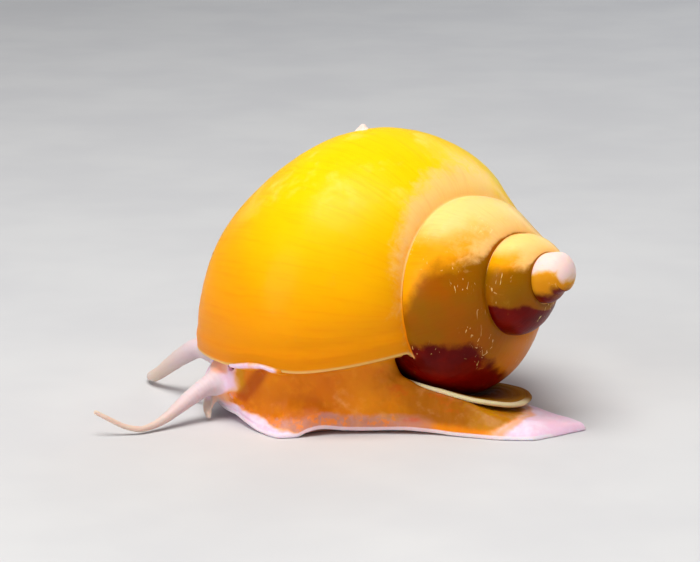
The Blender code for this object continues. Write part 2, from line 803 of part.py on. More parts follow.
def around(outline, centre, count):
    """Points of a closed outline met by rays at equal plan angles."""
    P = np.array(outline, float)
    Q = np.roll(P, -1, axis=0)
    out = []
    for k in range(count):
        a = 2 * math.pi * k / count
        d = np.array([math.cos(a), math.sin(a)])
        best = None
        for p, q in zip(P, Q):
            e = q[:2] - p[:2]
            det = d[0] * -e[1] + d[1] * e[0]
            if abs(det) < 1e-12:
                continue
            w = p[:2] - np.array(centre)
            t = (w[0] * -e[1] + w[1] * e[0]) / det
            m = (d[0] * w[1] - d[1] * w[0]) / det
            if t > 0 and 0 <= m <= 1 and (best is None or t > best[0]):
                best = (t, p[2] + (q[2] - p[2]) * m)
        out.append((centre[0] + d[0] * best[0], centre[1] + d[1] * best[0], best[1]))
    return np.array(out)


def middle_of(outline):
    """Plan centroid of the area inside a closed outline."""
    P = np.array(outline)[:, :2]
    Q = np.roll(P, -1, axis=0)
    w = P[:, 0] * Q[:, 1] - Q[:, 0] * P[:, 1]
    return ((P + Q) * w[:, None]).sum(axis=0) / (3.0 * w.sum())


def stalk_oval(f):
    """Rounded-square outline on the foot."""
    ring = []
    for k in range(STALK_SIDES):
        a = 2 * math.pi * k / STALK_SIDES
        c, s = math.cos(a), math.sin(a)
        m = (abs(c) ** 2.6 + abs(s) ** 2.6) ** (-1 / 2.6)
        g = (2 * max(0.0, c) * max(0.0, -s)) ** 2
        ring.append((STALK_C[0] + STALK_R[0] * f * c * m * (1 + STALK_CORNER[0] * g),
                     STALK_C[1] + STALK_R[1] * f * s * m * (1 + STALK_CORNER[1] * g)))
    return ring


def stalk_top(inset, angle, f=1.0):
    """The aperture outline, drawn in and clipped at the front wall."""
    line = np.array([turn_back(p, angle) for p in drawn_in(APERTURE, inset)])
    mid = middle_of(line)
    ring = around(line, mid, STALK_SIDES)
    c = np.array([*mid, ring[:, 2].mean()])
    for k, q in enumerate(ring):
        if q[0] < STALK_FRONT:
            q = c + (q - c) * ((STALK_FRONT - c[0]) / (q[0] - c[0]))
        ring[k] = c + (q - c) * f
    return ring


def stalk_rings():
    rings = []
    for f in (0.45, 0.8, 1.0):
        rings.append([(x, y, over(FOOT_TREES, x, y) + GAP + (0.10 if f == 1.0 else 0.0))
                      for x, y in stalk_oval(f)])
    low = np.array(rings[-1])
    top = stalk_top(2.3, -0.045)
    for f in (0.35, 0.72, 1.0):
        r = low * (1 - f) + top * f
        waist = 1.0 - 0.05 * math.sin(math.pi * f)
        c = r[:, :2].mean(axis=0)
        r[:, :2] = c + (r[:, :2] - c) * waist
        rings.append([tuple(q) for q in r])
    rings.append([tuple(q) for q in stalk_top(2.3, -0.045, 0.6)])
    return rings


body_stalk = mesh_object("body_stalk", *loft(stalk_rings()), body, M_FOOT)
cut(body_stalk, operc_fat)
cut(body_stalk, shell_fat)
cut(body_stalk, inflated(foot_middle, GAP, tools, "cut_middle"))
apply_all(body_stalk)

mantle_rings = []
for inset, angle in ((5.4, 0.0), (2.1, 0.0), (2.2, 0.06), (2.6, 0.13), (4.0, 0.19), (6.0, 0.21)):
    mantle_rings.append([tuple(turn_back(q, angle)) for q in drawn_in(APERTURE, inset)])
mantle = mesh_object("mantle", *loft(mantle_rings), body, M_MANTLE)
stalk_fat = inflated(body_stalk, GAP, tools, "cut_stalk")

# neck, head and snout: three lengths of one curved form
#             x      y     z    half width, half depth
HEAD_ROWS = [(-8.6, 2.9, 5.0, 2.9, 2.0),
             (-10.4, 3.0, 4.95, 2.8, 2.0),
             (-12.2, 3.1, 4.62, 2.95, 2.1),
             (-13.4, 3.1, 3.95, 2.8, 1.85),
             (-14.2, 3.0, 3.05, 2.3, 1.40),
             (-14.55, 2.9, 2.2, 1.8, 0.95),
             (-14.65, 2.8, 1.5, 1.45, 0.72)]
front_fat = inflated(foot_front, GAP, tools, "cut_front")
neck = limb("neck", HEAD_ROWS, 5, 20, body, M_FOOT, 0.0, 0.345)
cut(neck, stalk_fat)
cut(neck, front_fat)
apply_all(neck)
head = limb("head", HEAD_ROWS, 8, 20, body, M_PALE, 0.38, 0.755)
snout = limb("snout", HEAD_ROWS, 5, 20, body, M_PALE, 0.815, 1.0, 0.0, True)
cut(snout, front_fat)
cut(head, front_fat)
apply_all(snout)
apply_all(head)
head_fat = limb("cut_head", HEAD_ROWS, 10, 20, tools, None, 0.30, 0.80, GAP)
snout_fat = limb("cut_snout", HEAD_ROWS, 6, 20, tools, None, 0.74, 1.0, GAP, True)

# tentacles: each in three lengths
#              x       y     z    half widths
TENTACLES = {
    "left": [(-12.7, 1.3, 4.6, 1.28, 1.22),
             (-13.9, 0.0, 4.25, 1.25, 1.20),
             (-15.2, -0.6, 3.73, 1.12, 1.08),
             (-16.73, -1.6, 2.81, 0.98, 0.95),
             (-17.94, -2.6, 2.01, 0.82, 0.80),
             (-19.25, -3.7, 1.16, 0.57, 0.57),
             (-20.6, -4.8, 0.66, 0.40, 0.40),
             (-21.8, -5.6, 0.56, 0.33, 0.33),
             (-23.3, -6.0, 0.99, 0.29, 0.29),
             (-24.8, -6.3, 1.83, 0.27, 0.27),
             (-26.2, -6.3, 2.58, 0.25, 0.25)],
    "right": [(-12.8, 4.9, 4.7, 1.25, 1.20),
              (-14.3, 6.5, 5.50, 1.22, 1.18),
              (-16.1, 8.0, 5.80, 1.16, 1.12),
              (-17.85, 9.5, 4.66, 1.02, 1.00),
              (-19.62, 11.5, 2.96, 0.86, 0.84),
              (-21.2, 13.4, 1.32, 0.66, 0.64),
              (-21.9, 14.8, 0.76, 0.50, 0.48),
              (-22.0, 16.4, 0.62, 0.38, 0.38),
              (-21.4, 18.2, 0.70, 0.29, 0.29),
              (-20.3, 19.6, 1.00, 0.25, 0.25)],
}
EYE_AT = {"left": (-12.0, -1.05, 6.15), "right": (-11.7, 7.25, 6.15)}
EYE_STALKS = {"left": [(-12.1, 1.4, 4.9, 0.98, 0.98), (-12.05, 0.4, 5.35, 0.92, 0.92),
                       (-12.0, -0.45, 5.8, 0.80, 0.80)],
              "right": [(-11.8, 4.7, 4.95, 0.98, 0.98), (-11.75, 5.8, 5.40, 0.92, 0.92),
                        (-11.7, 6.65, 5.8, 0.80, 0.80)]}
PALPS = {"left": [(-14.0, 2.0, 3.0, 0.52, 0.52), (-14.65, 1.0, 1.95, 0.60, 0.60),
                  (-14.85, 0.2, 1.15, 0.54, 0.54), (-14.8, -0.5, 0.62, 0.34, 0.34)],
         "right": [(-14.1, 4.0, 3.0, 0.50, 0.50), (-15.0, 5.3, 2.0, 0.42, 0.42),
                   (-15.9, 6.1, 1.25, 0.33, 0.33), (-16.6, 6.6, 0.85, 0.27, 0.27)]}
CUTS = (0.36, 0.66)             # where each tentacle is parted
for side, rows in TENTACLES.items():
    length = sum(math.dist(a[:3], b[:3]) for a, b in zip(rows, rows[1:]))
    g = 0.5 * GAP / length
    base_t = limb("tentacle_%s_base" % side, rows, 9, 12, body, M_PALE, 0.0, CUTS[0] - g)
    limb("tentacle_%s_middle" % side, rows, 8, 10, body, M_PALE, CUTS[0] + g, CUTS[1] - g)
    limb("tentacle_%s_tip" % side, rows, 11, 8, body, M_PALE, CUTS[1] + g, 1.0, 0.0, True)
    cut(base_t, head_fat)
    cut(base_t, snout_fat)
    cut(base_t, front_fat)
    apply_all(base_t)
    base_fat = inflated(base_t, GAP, tools, "cut_base_" + side)

    c = EYE_AT[side]
    for name, rad, where in (("eye_" + side, EYE_R, body), ("cut_eye_" + side, EYE_R + GAP, tools)):
        b = bmesh.new()
        bmesh.ops.create_uvsphere(b, u_segments=12, v_segments=8, radius=rad * MM)
        me = bpy.data.meshes.new(name)
        bmesh.ops.translate(b, verts=b.verts, vec=Vector(c) * MM)
        b.to_mesh(me)
        b.free()
        me.shade_smooth()
        ob = bpy.data.objects.new(name, me)
        where.objects.link(ob)
        if where is body:
            me.materials.append(M_EYE)
        else:
            ob.hide_render = True
            ob.display_type = "WIRE"
            eye_fat = ob
    es = limb("eye_stalk_" + side, EYE_STALKS[side], 5, 14, body, M_PALE, 0.0, 1.0, 0.0, True)
    for k in (head_fat, base_fat, eye_fat):
        cut(es, k)
    apply_all(es)

    pal = limb("labial_palp_" + side, PALPS[side], 8, 10, body, M_PALE, 0.0, 1.0, 0.0, True)
    for k in (head_fat, snout_fat, base_fat, front_fat):
        cut(pal, k)
    apply_all(pal)

# siphon: a short flattened tube on the right side, under the shell
SIPHON_ROWS = [(-9.2, 7.0, 7.0, 1.3, 0.95), (-11.2, 8.9, 6.9, 1.35, 0.95),
               (-13.0, 10.3, 6.4, 1.2, 0.85), (-14.3, 11.3, 5.7, 1.05, 0.75)]
mantle_fat = inflated(mantle, GAP, tools, "cut_mantle")
siphon = limb("siphon", SIPHON_ROWS, 8, 16, body, M_MANTLE)
for k in (mantle_fat, stalk_fat, shell_fat):
    cut(siphon, k)
apply_all(siphon)

# the plan centre of the animal goes to the origin
shift = Matrix.Translation(Vector((-CENTRE[0], -CENTRE[1], 0.0)) * MM)
for ob in list(body.objects) + list(tools.objects):
    ob.data.transform(shift)
for ob in tools.objects:
    ob.hide_render = True
    ob.display_type = "WIRE"
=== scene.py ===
import math

import bpy
import numpy as np
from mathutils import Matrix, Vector
from mathutils.bvhtree import BVHTree


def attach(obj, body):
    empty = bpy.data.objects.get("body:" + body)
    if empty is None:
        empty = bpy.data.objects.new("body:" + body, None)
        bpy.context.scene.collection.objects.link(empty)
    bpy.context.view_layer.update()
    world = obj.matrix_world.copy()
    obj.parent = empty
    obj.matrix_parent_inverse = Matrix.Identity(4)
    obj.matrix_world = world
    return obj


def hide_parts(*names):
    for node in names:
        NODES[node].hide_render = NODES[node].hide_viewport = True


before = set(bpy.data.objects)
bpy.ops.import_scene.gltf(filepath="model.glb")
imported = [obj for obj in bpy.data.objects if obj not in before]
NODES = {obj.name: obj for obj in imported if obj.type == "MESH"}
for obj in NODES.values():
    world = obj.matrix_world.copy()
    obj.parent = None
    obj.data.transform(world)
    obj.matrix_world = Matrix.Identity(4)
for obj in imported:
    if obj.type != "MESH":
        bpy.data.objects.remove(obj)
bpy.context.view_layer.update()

# Lengths below are in millimetres, in the plan the solids were drawn in; CENTRE
# is the point of that plan that lies at the frame's origin.
MM = 0.001
CENTRE = np.array([-0.8738, 5.7272, 0.0])


# ------------------------------------------------------------------ helpers
def smooth(x):
    x = np.clip(x, 0.0, 1.0)
    return x * x * (3.0 - 2.0 * x)


def ramp(x, a, b):
    return smooth((np.asarray(x, float) - a) / (b - a))


def srgb(r, g, b):
    out = []
    for c in (r, g, b):
        c = c / 255.0
        out.append(c / 12.92 if c <= 0.04045 else ((c + 0.055) / 1.055) ** 2.4)
    return tuple(out) + (1.0,)


def table(x, rows):
    """Monotone cubic curves through a short table of (x, value...) rows, for an array x."""
    x = np.asarray(x, float)
    xs = np.array([r[0] for r in rows], float)
    ys = np.array([r[1:] for r in rows], float)
    d = np.diff(ys, axis=0) / np.diff(xs)[:, None]
    m = np.zeros_like(ys)
    m[0], m[-1] = d[0], d[-1]
    for i in range(1, len(xs) - 1):
        same = d[i - 1] * d[i] > 0
        den = np.where(same, d[i - 1] + d[i], 1.0)
        m[i] = np.where(same, 2.0 * d[i - 1] * d[i] / den, 0.0)
    q = np.clip(x, xs[0], xs[-1])
    i = np.clip(np.searchsorted(xs, q, side="right") - 1, 0, len(xs) - 2)
    h = (xs[i + 1] - xs[i])[..., None]
    t = (q - xs[i])[..., None] / h
    return ((1 + 2 * t) * (1 - t) ** 2 * ys[i] + t * (1 - t) ** 2 * h * m[i]
            + t * t * (3 - 2 * t) * ys[i + 1] + t * t * (t - 1) * h * m[i + 1])


_rng = np.random.RandomState(7)
_PERM = np.concatenate([_rng.permutation(256)] * 3)
_GRAD = _rng.normal(size=(256, 3))
_GRAD /= np.linalg.norm(_GRAD, axis=1)[:, None]


def noise3(p):
    """Smooth gradient noise, about -0.7 to 0.7, at an array of points."""
    p = np.asarray(p, float)
    i = np.floor(p).astype(int)
    f = p - i
    w = f * f * f * (f * (f * 6 - 15) + 10)
    out = 0.0
    for dx in (0, 1):
        for dy in (0, 1):
            for dz in (0, 1):
                h = _PERM[(_PERM[(_PERM[(i[:, 0] + dx) & 255] + i[:, 1] + dy) & 255] + i[:, 2] + dz) & 255]
                g = _GRAD[h]
                dot = g[:, 0] * (f[:, 0] - dx) + g[:, 1] * (f[:, 1] - dy) + g[:, 2] * (f[:, 2] - dz)
                out = out + dot * ((w[:, 0] if dx else 1 - w[:, 0]) * (w[:, 1] if dy else 1 - w[:, 1])
                                   * (w[:, 2] if dz else 1 - w[:, 2]))
    return out


def fractal(p, octaves=3, gain=0.5):
    out, amp, q = 0.0, 1.0, np.asarray(p, float)
    for k in range(octaves):
        out = out + amp * noise3(q + 17.3 * k)
        amp *= gain
        q = q * 2.03
    return out


def mesh_piece(name, verts, faces, mat, layers=None):
    """A mesh object from vertices in mm and faces (one array, or a list of arrays, of
    indices), with named float layers on its points."""
    me = bpy.data.meshes.new(name)
    V = (np.asarray(verts, float) - CENTRE) * MM
    groups = faces if isinstance(faces, (list, tuple)) else [faces]
    groups = [np.asarray(g, np.int32) for g in groups if len(g)]
    loops = np.concatenate([g.ravel() for g in groups])
    sizes = np.concatenate([np.full(len(g), g.shape[1], np.int32) for g in groups])
    starts = np.concatenate([[0], np.cumsum(sizes)[:-1]]).astype(np.int32)
    me.vertices.add(len(V))
    me.vertices.foreach_set("co", V.astype(np.float32).ravel())
    me.loops.add(len(loops))
    me.loops.foreach_set("vertex_index", loops)
    me.polygons.add(len(sizes))
    me.polygons.foreach_set("loop_start", starts)
    me.polygons.foreach_set("loop_total", sizes)
    me.update(calc_edges=True)
    me.validate(clean_customdata=False)
    me.shade_smooth()
    for key, val in (layers or {}).items():
        a = me.attributes.new(key, "FLOAT", "POINT")
        a.data.foreach_set("value", np.asarray(val, np.float32))
    me.materials.append(mat)
    ob = bpy.data.objects.new(name, me)
    bpy.context.scene.collection.objects.link(ob)
    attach(ob, "root")
    return ob


def point_normals(V, groups):
    N = np.zeros_like(V)
    for F in groups:
        a, b, c = V[F[:, 0]], V[F[:, 1]], V[F[:, 2]]
        n = np.cross(b - a, c - a)
        if F.shape[1] == 4:
            n = n + np.cross(V[F[:, 2]] - a, V[F[:, 3]] - a)
        for k in range(F.shape[1]):
            np.add.at(N, F[:, k], n)
    return N / np.maximum(np.linalg.norm(N, axis=1), 1e-12)[:, None]


# ---------------------------------------------------------------- materials
class Tree:
    """Short-hand for building a node tree."""

    def __init__(self, name):
        self.mat = bpy.data.materials.new(name)
        self.mat.use_nodes = True
        self.t = self.mat.node_tree
        self.bsdf = self.t.nodes["Principled BSDF"]
        self.out = self.t.nodes["Material Output"]
        self.obj = self.t.nodes.new("ShaderNodeTexCoord").outputs["Object"]

    def put(self, socket, value):
        if hasattr(value, "is_output"):
            self.t.links.new(value, socket)
        elif value is not None:
            socket.default_value = value

    def const(self, **kw):
        for k, v in kw.items():
            self.bsdf.inputs[k.replace("_", " ").title().replace("Ior", "IOR")].default_value = v

    def layer(self, name):
        n = self.t.nodes.new("ShaderNodeAttribute")
        n.attribute_name = name
        return n.outputs["Fac"]

    def math(self, op, a, b=0.0, c=None, clamp=False):
        n = self.t.nodes.new("ShaderNodeMath")
        n.operation = op
        n.use_clamp = clamp
        self.put(n.inputs[0], a)
        self.put(n.inputs[1], b)
        if c is not None:
            self.put(n.inputs[2], c)
        return n.outputs[0]

    def map(self, x, a, b, lo=0.0, hi=1.0, kind="SMOOTHSTEP"):
        n = self.t.nodes.new("ShaderNodeMapRange")
        n.interpolation_type = kind
        self.put(n.inputs["Value"], x)
        for key, v in (("From Min", a), ("From Max", b), ("To Min", lo), ("To Max", hi)):
            n.inputs[key].default_value = v
        return n.outputs["Result"]

    def mix(self, fac, a, b, blend="MIX"):
        n = self.t.nodes.new("ShaderNodeMix")
        n.data_type = "RGBA"
        n.blend_type = blend
        n.clamp_factor = True
        self.put(n.inputs[0], fac)
        self.put(n.inputs[6], a)
        self.put(n.inputs[7], b)
        return n.outputs[2]

    def stretch(self, scale, vec=None):
        n = self.t.nodes.new("ShaderNodeMapping")
        self.put(n.inputs["Vector"], vec or self.obj)
        n.inputs["Scale"].default_value = scale
        return n.outputs[0]

    def noise(self, scale, detail=4.0, rough=0.55, vec=None, distort=0.0):
        n = self.t.nodes.new("ShaderNodeTexNoise")
        self.put(n.inputs["Vector"], vec or self.obj)
        n.inputs["Scale"].default_value = scale
        n.inputs["Detail"].default_value = detail
        n.inputs["Roughness"].default_value = rough
        n.inputs["Distortion"].default_value = distort
        return n.outputs["Fac"]

    def cells(self, scale, vec=None, feature="F1"):
        n = self.t.nodes.new("ShaderNodeTexVoronoi")
        n.feature = feature
        self.put(n.inputs["Vector"], vec or self.obj)
        n.inputs["Scale"].default_value = scale
        return n.outputs["Distance"]

    def combine(self, x, y, z):
        n = self.t.nodes.new("ShaderNodeCombineXYZ")
        for k, v in enumerate((x, y, z)):
            self.put(n.inputs[k], v)
        return n.outputs[0]

    def bump(self, height, strength, dist, normal=None):
        n = self.t.nodes.new("ShaderNodeBump")
        n.inputs["Strength"].default_value = strength
        n.inputs["Distance"].default_value = dist
        self.put(n.inputs["Height"], height)
        if normal is not None:
            self.put(n.inputs["Normal"], normal)
        return n.outputs[0]


def shell_material():
    m = Tree("shell_gold")
    up, turn, across, lip, pale = (m.layer(k) for k in ("up", "turn", "across", "lip", "pale"))
    broad = m.noise(95.0, 3.0, 0.5)
    fine = m.noise(420.0, 5.0, 0.62)
    mott = m.noise(900.0, 4.0, 0.6, distort=0.6)
    dbroad = m.math("SUBTRACT", broad, 0.5)
    dfine = m.math("SUBTRACT", fine, 0.5)
    # the body whorl: yellow above, gold on its side, orange below, by how each face points up: painted light and shade;
    # orange towards the lip
    h = m.math("ADD", up, m.math("MULTIPLY", dbroad, 0.30))
    body = m.mix(m.map(h, -0.60, 0.05), srgb(255, 122, 0), srgb(255, 176, 0))
    body = m.mix(m.map(h, 0.05, 0.80), body, srgb(255, 208, 0))
    body = m.mix(m.map(lip, 0.0, 1.0, 0.0, 0.75), body, srgb(255, 138, 0))
    along = m.t.nodes.new("ShaderNodeSeparateXYZ")
    m.put(along.inputs[0], m.obj)
    ahead = m.map(m.math("ADD", along.outputs[0], m.math("MULTIPLY", dbroad, 0.006)), -0.015, -0.002, 0.50, 0.0)
    body = m.mix(ahead, body, srgb(255, 142, 0))
    # faint pale clouds on the crown, only where it faces up: mottling with a painted highlight
    cloud_sheen = m.math("MULTIPLY", m.map(m.noise(150.0, 4.0, 0.6), 0.50, 0.66), m.map(up, 0.45, 0.90, 0.0, 0.40))
    body = m.mix(cloud_sheen, body, srgb(255, 240, 130))
    # the spire: cream above, a painted highlight; gold and olive amber on its side; dark red-brown underneath, partly
    # the dark body seen through the shell and partly painted shade
    hs = m.math("ADD", up, m.math("MULTIPLY", m.math("ADD", m.math("MULTIPLY", dbroad, 0.6), m.math("MULTIPLY", dfine, 0.6)), 0.34))
    olive = m.mix(m.map(m.noise(170.0, 4.0, 0.55), 0.36, 0.70), srgb(168, 88, 0), srgb(150, 96, 0))
    red = m.mix(m.map(fine, 0.35, 0.70), srgb(90, 0, 0), srgb(118, 8, 0))
    # brighter red on the lowest, downward faces of the last old whorl: painted light lifting the shade there
    red = m.mix(m.math("MULTIPLY", m.map(up, -0.55, -0.85), m.map(turn, -1.75, -1.55, 0.0, 0.8)), red, srgb(146, 8, 0))
    # the dark underside is narrower on the last of the old whorls, and ends to its rear, where the flank turns bright
    # orange: painted light
    border = m.map(turn, -1.75, -1.35, 0.27, 0.33, "LINEAR")
    border = m.math("ADD", border, m.map(turn, -0.97, -0.80, 0.0, 0.34, "LINEAR"))
    olive = m.mix(m.map(turn, -0.95, -0.80, 0.0, 0.85), olive, srgb(224, 128, 0))
    spire = m.mix(m.map(m.math("ADD", hs, border), -0.055, 0.030), red, olive)
    side = m.math("MULTIPLY", m.map(m.math("ADD", across, m.math("MULTIPLY", dbroad, 0.25)), 0.60, 1.00, 0.0, 0.38), m.map(turn, -1.7, -1.2))
    hg = m.math("ADD", m.math("ADD", hs, side), m.math("MULTIPLY", dfine, 0.10))
    spire = m.mix(m.map(hg, 0.24, 0.52), spire, srgb(250, 168, 6))
    spire = m.mix(m.map(hs, 0.56, 0.84), spire, srgb(255, 214, 130))
    old = m.map(m.math("ADD", turn, m.math("MULTIPLY", dbroad, 0.15)), -0.40, -0.72)
    col = m.mix(old, body, spire)
    # the pale band below the suture, with a mottled edge; the band fades on downward faces, painted light
    edge = m.math("ADD", pale, m.math("MULTIPLY", m.math("SUBTRACT", mott, 0.5), 0.55))
    edge = m.math("ADD", edge, m.math("MULTIPLY", m.math("ADD", dfine, m.math("MULTIPLY", dbroad, 1.5)), 0.40))
    col = m.mix(m.map(edge, 0.30, 0.72, 0.0, 0.85), col, srgb(255, 206, 128))
    # the apex: pinkish white and worn, the white kept to upward faces as a painted highlight, with amber below
    tip = m.math("ADD", m.layer("apex"), m.math("MULTIPLY", m.math("ADD", dfine, m.math("MULTIPLY", m.math("SUBTRACT", mott, 0.5), 1.2)), 0.6))
    gold = m.math("MULTIPLY", m.map(turn, -2.72, -3.02), m.map(m.math("ADD", up, m.math("MULTIPLY", dfine, 0.8)), -0.78, -0.30))
    col = m.mix(gold, col, srgb(228, 152, 20))
    col = m.mix(m.map(tip, 0.12, 0.50, 0.0, 0.85), col, srgb(240, 180, 74))
    col = m.mix(m.map(tip, 0.28, 0.95), col, srgb(255, 220, 214))
    # thin pale line along the lip: painted highlight
    col = m.mix(m.map(m.layer("rim"), 0.25, 0.9, 0.0, 0.8), col, srgb(255, 206, 130))
    # fine growth lines in the colour
    lines = m.noise(1.0, 3.0, 0.6, vec=m.combine(m.math("MULTIPLY", turn, 260.0), m.math("MULTIPLY", across, 3.0), 0.0))
    col = m.mix(m.map(lines, 0.45, 0.75, 0.0, 0.12), col, srgb(236, 140, 4), "MULTIPLY")
    # scratches and specks of the worn spire
    scr = m.noise(1500.0, 2.0, 0.5, vec=m.stretch((1.0, 1.0, 0.35)), distort=2.5)
    spk = m.math("MULTIPLY", m.map(scr, 0.650, 0.690), m.map(m.noise(250.0, 2.0), 0.54, 0.64))
    spk = m.math("MULTIPLY", spk, m.math("MULTIPLY", old, 0.7))
    col = m.mix(spk, col, srgb(255, 220, 140))
    m.put(m.bsdf.inputs["Base Color"], col)
    m.put(m.bsdf.inputs["Roughness"], m.map(m.math("ADD", fine, m.math("MULTIPLY", old, -0.06)), 0.30, 0.85, 0.30, 0.50))
    hgt = m.math("ADD", m.math("MULTIPLY", lines, 0.7), m.math("MULTIPLY", mott, 0.3))
    m.put(m.bsdf.inputs["Normal"], m.bump(hgt, 0.22, 0.00008))
    b = m.bsdf
    b.inputs["Subsurface Weight"].default_value = 0.40
    b.inputs["Subsurface Radius"].default_value = (1.0, 0.42, 0.06)
    b.inputs["Subsurface Scale"].default_value = 0.0020
    b.inputs["Specular IOR Level"].default_value = 0.06
    b.inputs["Coat Weight"].default_value = 0.04
    b.inputs["Coat Roughness"].default_value = 0.18
    return m.mat


def skin_material():
    m = Tree("moist_skin")
    pale, olive, rim, pink, grey, tip = (m.layer(k) for k in ("pale", "olive", "rim", "pink", "grey", "tip"))
    fine = m.noise(650.0, 5.0, 0.62)
    blot = m.noise(270.0, 4.0, 0.6, distort=0.8)
    wide = m.noise(110.0, 3.0, 0.5)
    half = m.math("SUBTRACT", blot, 0.5)
    spots = m.noise(640.0, 3.0, 0.55, distort=0.6)
    spot = m.math("SUBTRACT", spots, 0.5)
    # amber flesh, with orange and olive patches
    amber = m.mix(m.map(wide, 0.36, 0.64), srgb(222, 118, 0), srgb(240, 144, 2))
    amber = m.mix(m.map(fine, 0.46, 0.72, 0.0, 0.40), amber, srgb(252, 164, 16))
    amber = m.mix(m.math("MULTIPLY", m.map(m.math("ADD", olive, m.math("MULTIPLY", half, 0.5)), 0.15, 0.85), 0.8),
                  amber, srgb(150, 84, 0))
    neck = m.layer("neck")
    amber = m.mix(m.map(m.math("ADD", neck, m.math("MULTIPLY", half, 0.3)), 0.1, 0.9, 0.0, 0.85), amber, srgb(222, 158, 16))
    # painted shade: darker orange along the neck crease, from the layer 'fold'
    amber = m.mix(m.map(m.layer("fold"), 0.05, 0.9, 0.0, 0.75), amber, srgb(188, 78, 0))
    # orange, pink and lilac mottles near the margin
    mm = m.math("ADD", pink, m.math("MULTIPLY", m.math("ADD", half, m.math("MULTIPLY", spot, 1.6)), 1.2))
    col = m.mix(m.map(mm, 0.42, 0.95, 0.0, 0.5), amber, srgb(250, 158, 96))
    lil = m.math("MULTIPLY", m.map(m.noise(1250.0, 3.0, 0.5), 0.51, 0.61), m.map(pink, 0.15, 0.7))
    col = m.mix(m.math("MULTIPLY", lil, 0.62), col, srgb(226, 162, 168))
    # painted shade, dusty greyish pink, along the lower margin of the foot, and streaks of yellow and red at the rear
    margin_shade = m.math("ADD", m.layer("margin_shade"), m.math("MULTIPLY", m.math("ADD", half, spot), 0.7))
    col = m.mix(m.map(margin_shade, 0.18, 0.92, 0.0, 0.78), col, srgb(202, 142, 126))
    org = m.math("MULTIPLY", m.map(m.noise(1050.0, 4.0, 0.6), 0.50, 0.64), m.map(pink, 0.10, 0.6))
    col = m.mix(m.math("MULTIPLY", org, 0.66), col, srgb(255, 146, 20))
    rear = m.map(olive, 0.10, 0.55)
    streak = m.noise(430.0, 4.0, 0.6, vec=m.stretch((0.6, 1.0, 1.0)))
    col = m.mix(m.math("MULTIPLY", m.map(streak, 0.52, 0.68), m.math("MULTIPLY", rear, 0.50)), col, srgb(220, 82, 4))
    glow = m.noise(300.0, 4.0, 0.6, vec=m.stretch((0.7, 1.0, 1.2)))
    col = m.mix(m.math("MULTIPLY", m.map(glow, 0.50, 0.66), m.math("MULTIPLY", rear, 0.55)), col, srgb(204, 144, 4))
    last = m.math("ADD", m.layer("rear"), m.math("MULTIPLY", half, 0.9))
    col = m.mix(m.map(last, 0.30, 0.95, 0.0, 0.65), col, srgb(194, 132, 0))
    # pinkish white parts
    pp = m.math("ADD", pale, m.math("MULTIPLY", m.math("ADD", half, m.math("MULTIPLY", m.math("SUBTRACT", fine, 0.5), 0.7)), 0.7))
    white = m.mix(m.map(fine, 0.36, 0.66), srgb(252, 206, 228), srgb(255, 226, 244))
    white = m.mix(m.map(wide, 0.45, 0.62, 0.0, 0.5), white, srgb(252, 198, 222))
    white = m.mix(m.math("MULTIPLY", m.layer("tent"), 0.80), white, srgb(208, 197, 198))
    white = m.mix(m.math("MULTIPLY", tip, 0.9), white, srgb(216, 194, 178))
    white = m.mix(m.map(m.math("ADD", m.layer("peach"), m.math("MULTIPLY", half, 0.6)), 0.15, 0.95, 0.0, 0.85),
                  white, srgb(254, 184, 142))
    # peach blush, its colour raised to lift the tentacle's shadow: own colour with painted light
    white = m.mix(m.map(m.math("ADD", m.layer("blush_with_painted_light"), m.math("MULTIPLY", half, 0.6)), 0.25, 0.85, 0.0, 0.9),
                  white, srgb(250, 158, 112))
    white = m.mix(m.math("MULTIPLY", m.map(m.math("ADD", grey, m.math("MULTIPLY", half, 0.5)), 0.2, 0.9), 0.85),
                  white, srgb(218, 202, 180))
    halo = m.math("MULTIPLY", m.map(pp, 0.02, 0.40), 0.70)
    col = m.mix(halo, col, srgb(252, 184, 116))
    col = m.mix(m.map(pp, 0.16, 0.92), col, white)
    # the same blush, made bright as painted light against the tentacle's shadow
    col = m.mix(m.map(m.math("ADD", m.layer("blush_with_painted_light"), m.math("MULTIPLY", half, 0.4)), 0.20, 0.90, 0.0, 0.8),
                col, srgb(255, 184, 136))
    edge = m.mix(rear, srgb(252, 230, 238), srgb(214, 190, 192))
    # the rim is greyer where the painted margin shade lies
    edge = m.mix(m.map(m.layer("margin_shade"), 0.1, 0.8, 0.0, 0.6), edge, srgb(232, 206, 216))
    col = m.mix(m.map(m.math("ADD", rim, m.math("MULTIPLY", half, 0.4)), 0.30, 0.9, 0.0, 0.85), col, edge)
    m.put(m.bsdf.inputs["Base Color"], col)
    m.put(m.bsdf.inputs["Roughness"], m.map(fine, 0.3, 0.75, 0.36, 0.54))
    grain = m.math("ADD", m.math("MULTIPLY", m.cells(1500.0), 0.6), m.math("MULTIPLY", fine, 0.6))
    m.put(m.bsdf.inputs["Normal"], m.bump(grain, 0.30, 0.00007))
    b = m.bsdf
    b.inputs["Subsurface Weight"].default_value = 0.6
    b.inputs["Subsurface Radius"].default_value = (1.0, 0.46, 0.30)
    b.inputs["Subsurface Scale"].default_value = 0.0009
    b.inputs["Specular IOR Level"].default_value = 0.13
    b.inputs["Coat Weight"].default_value = 0.09
    b.inputs["Coat Roughness"].default_value = 0.26
    return m.mat


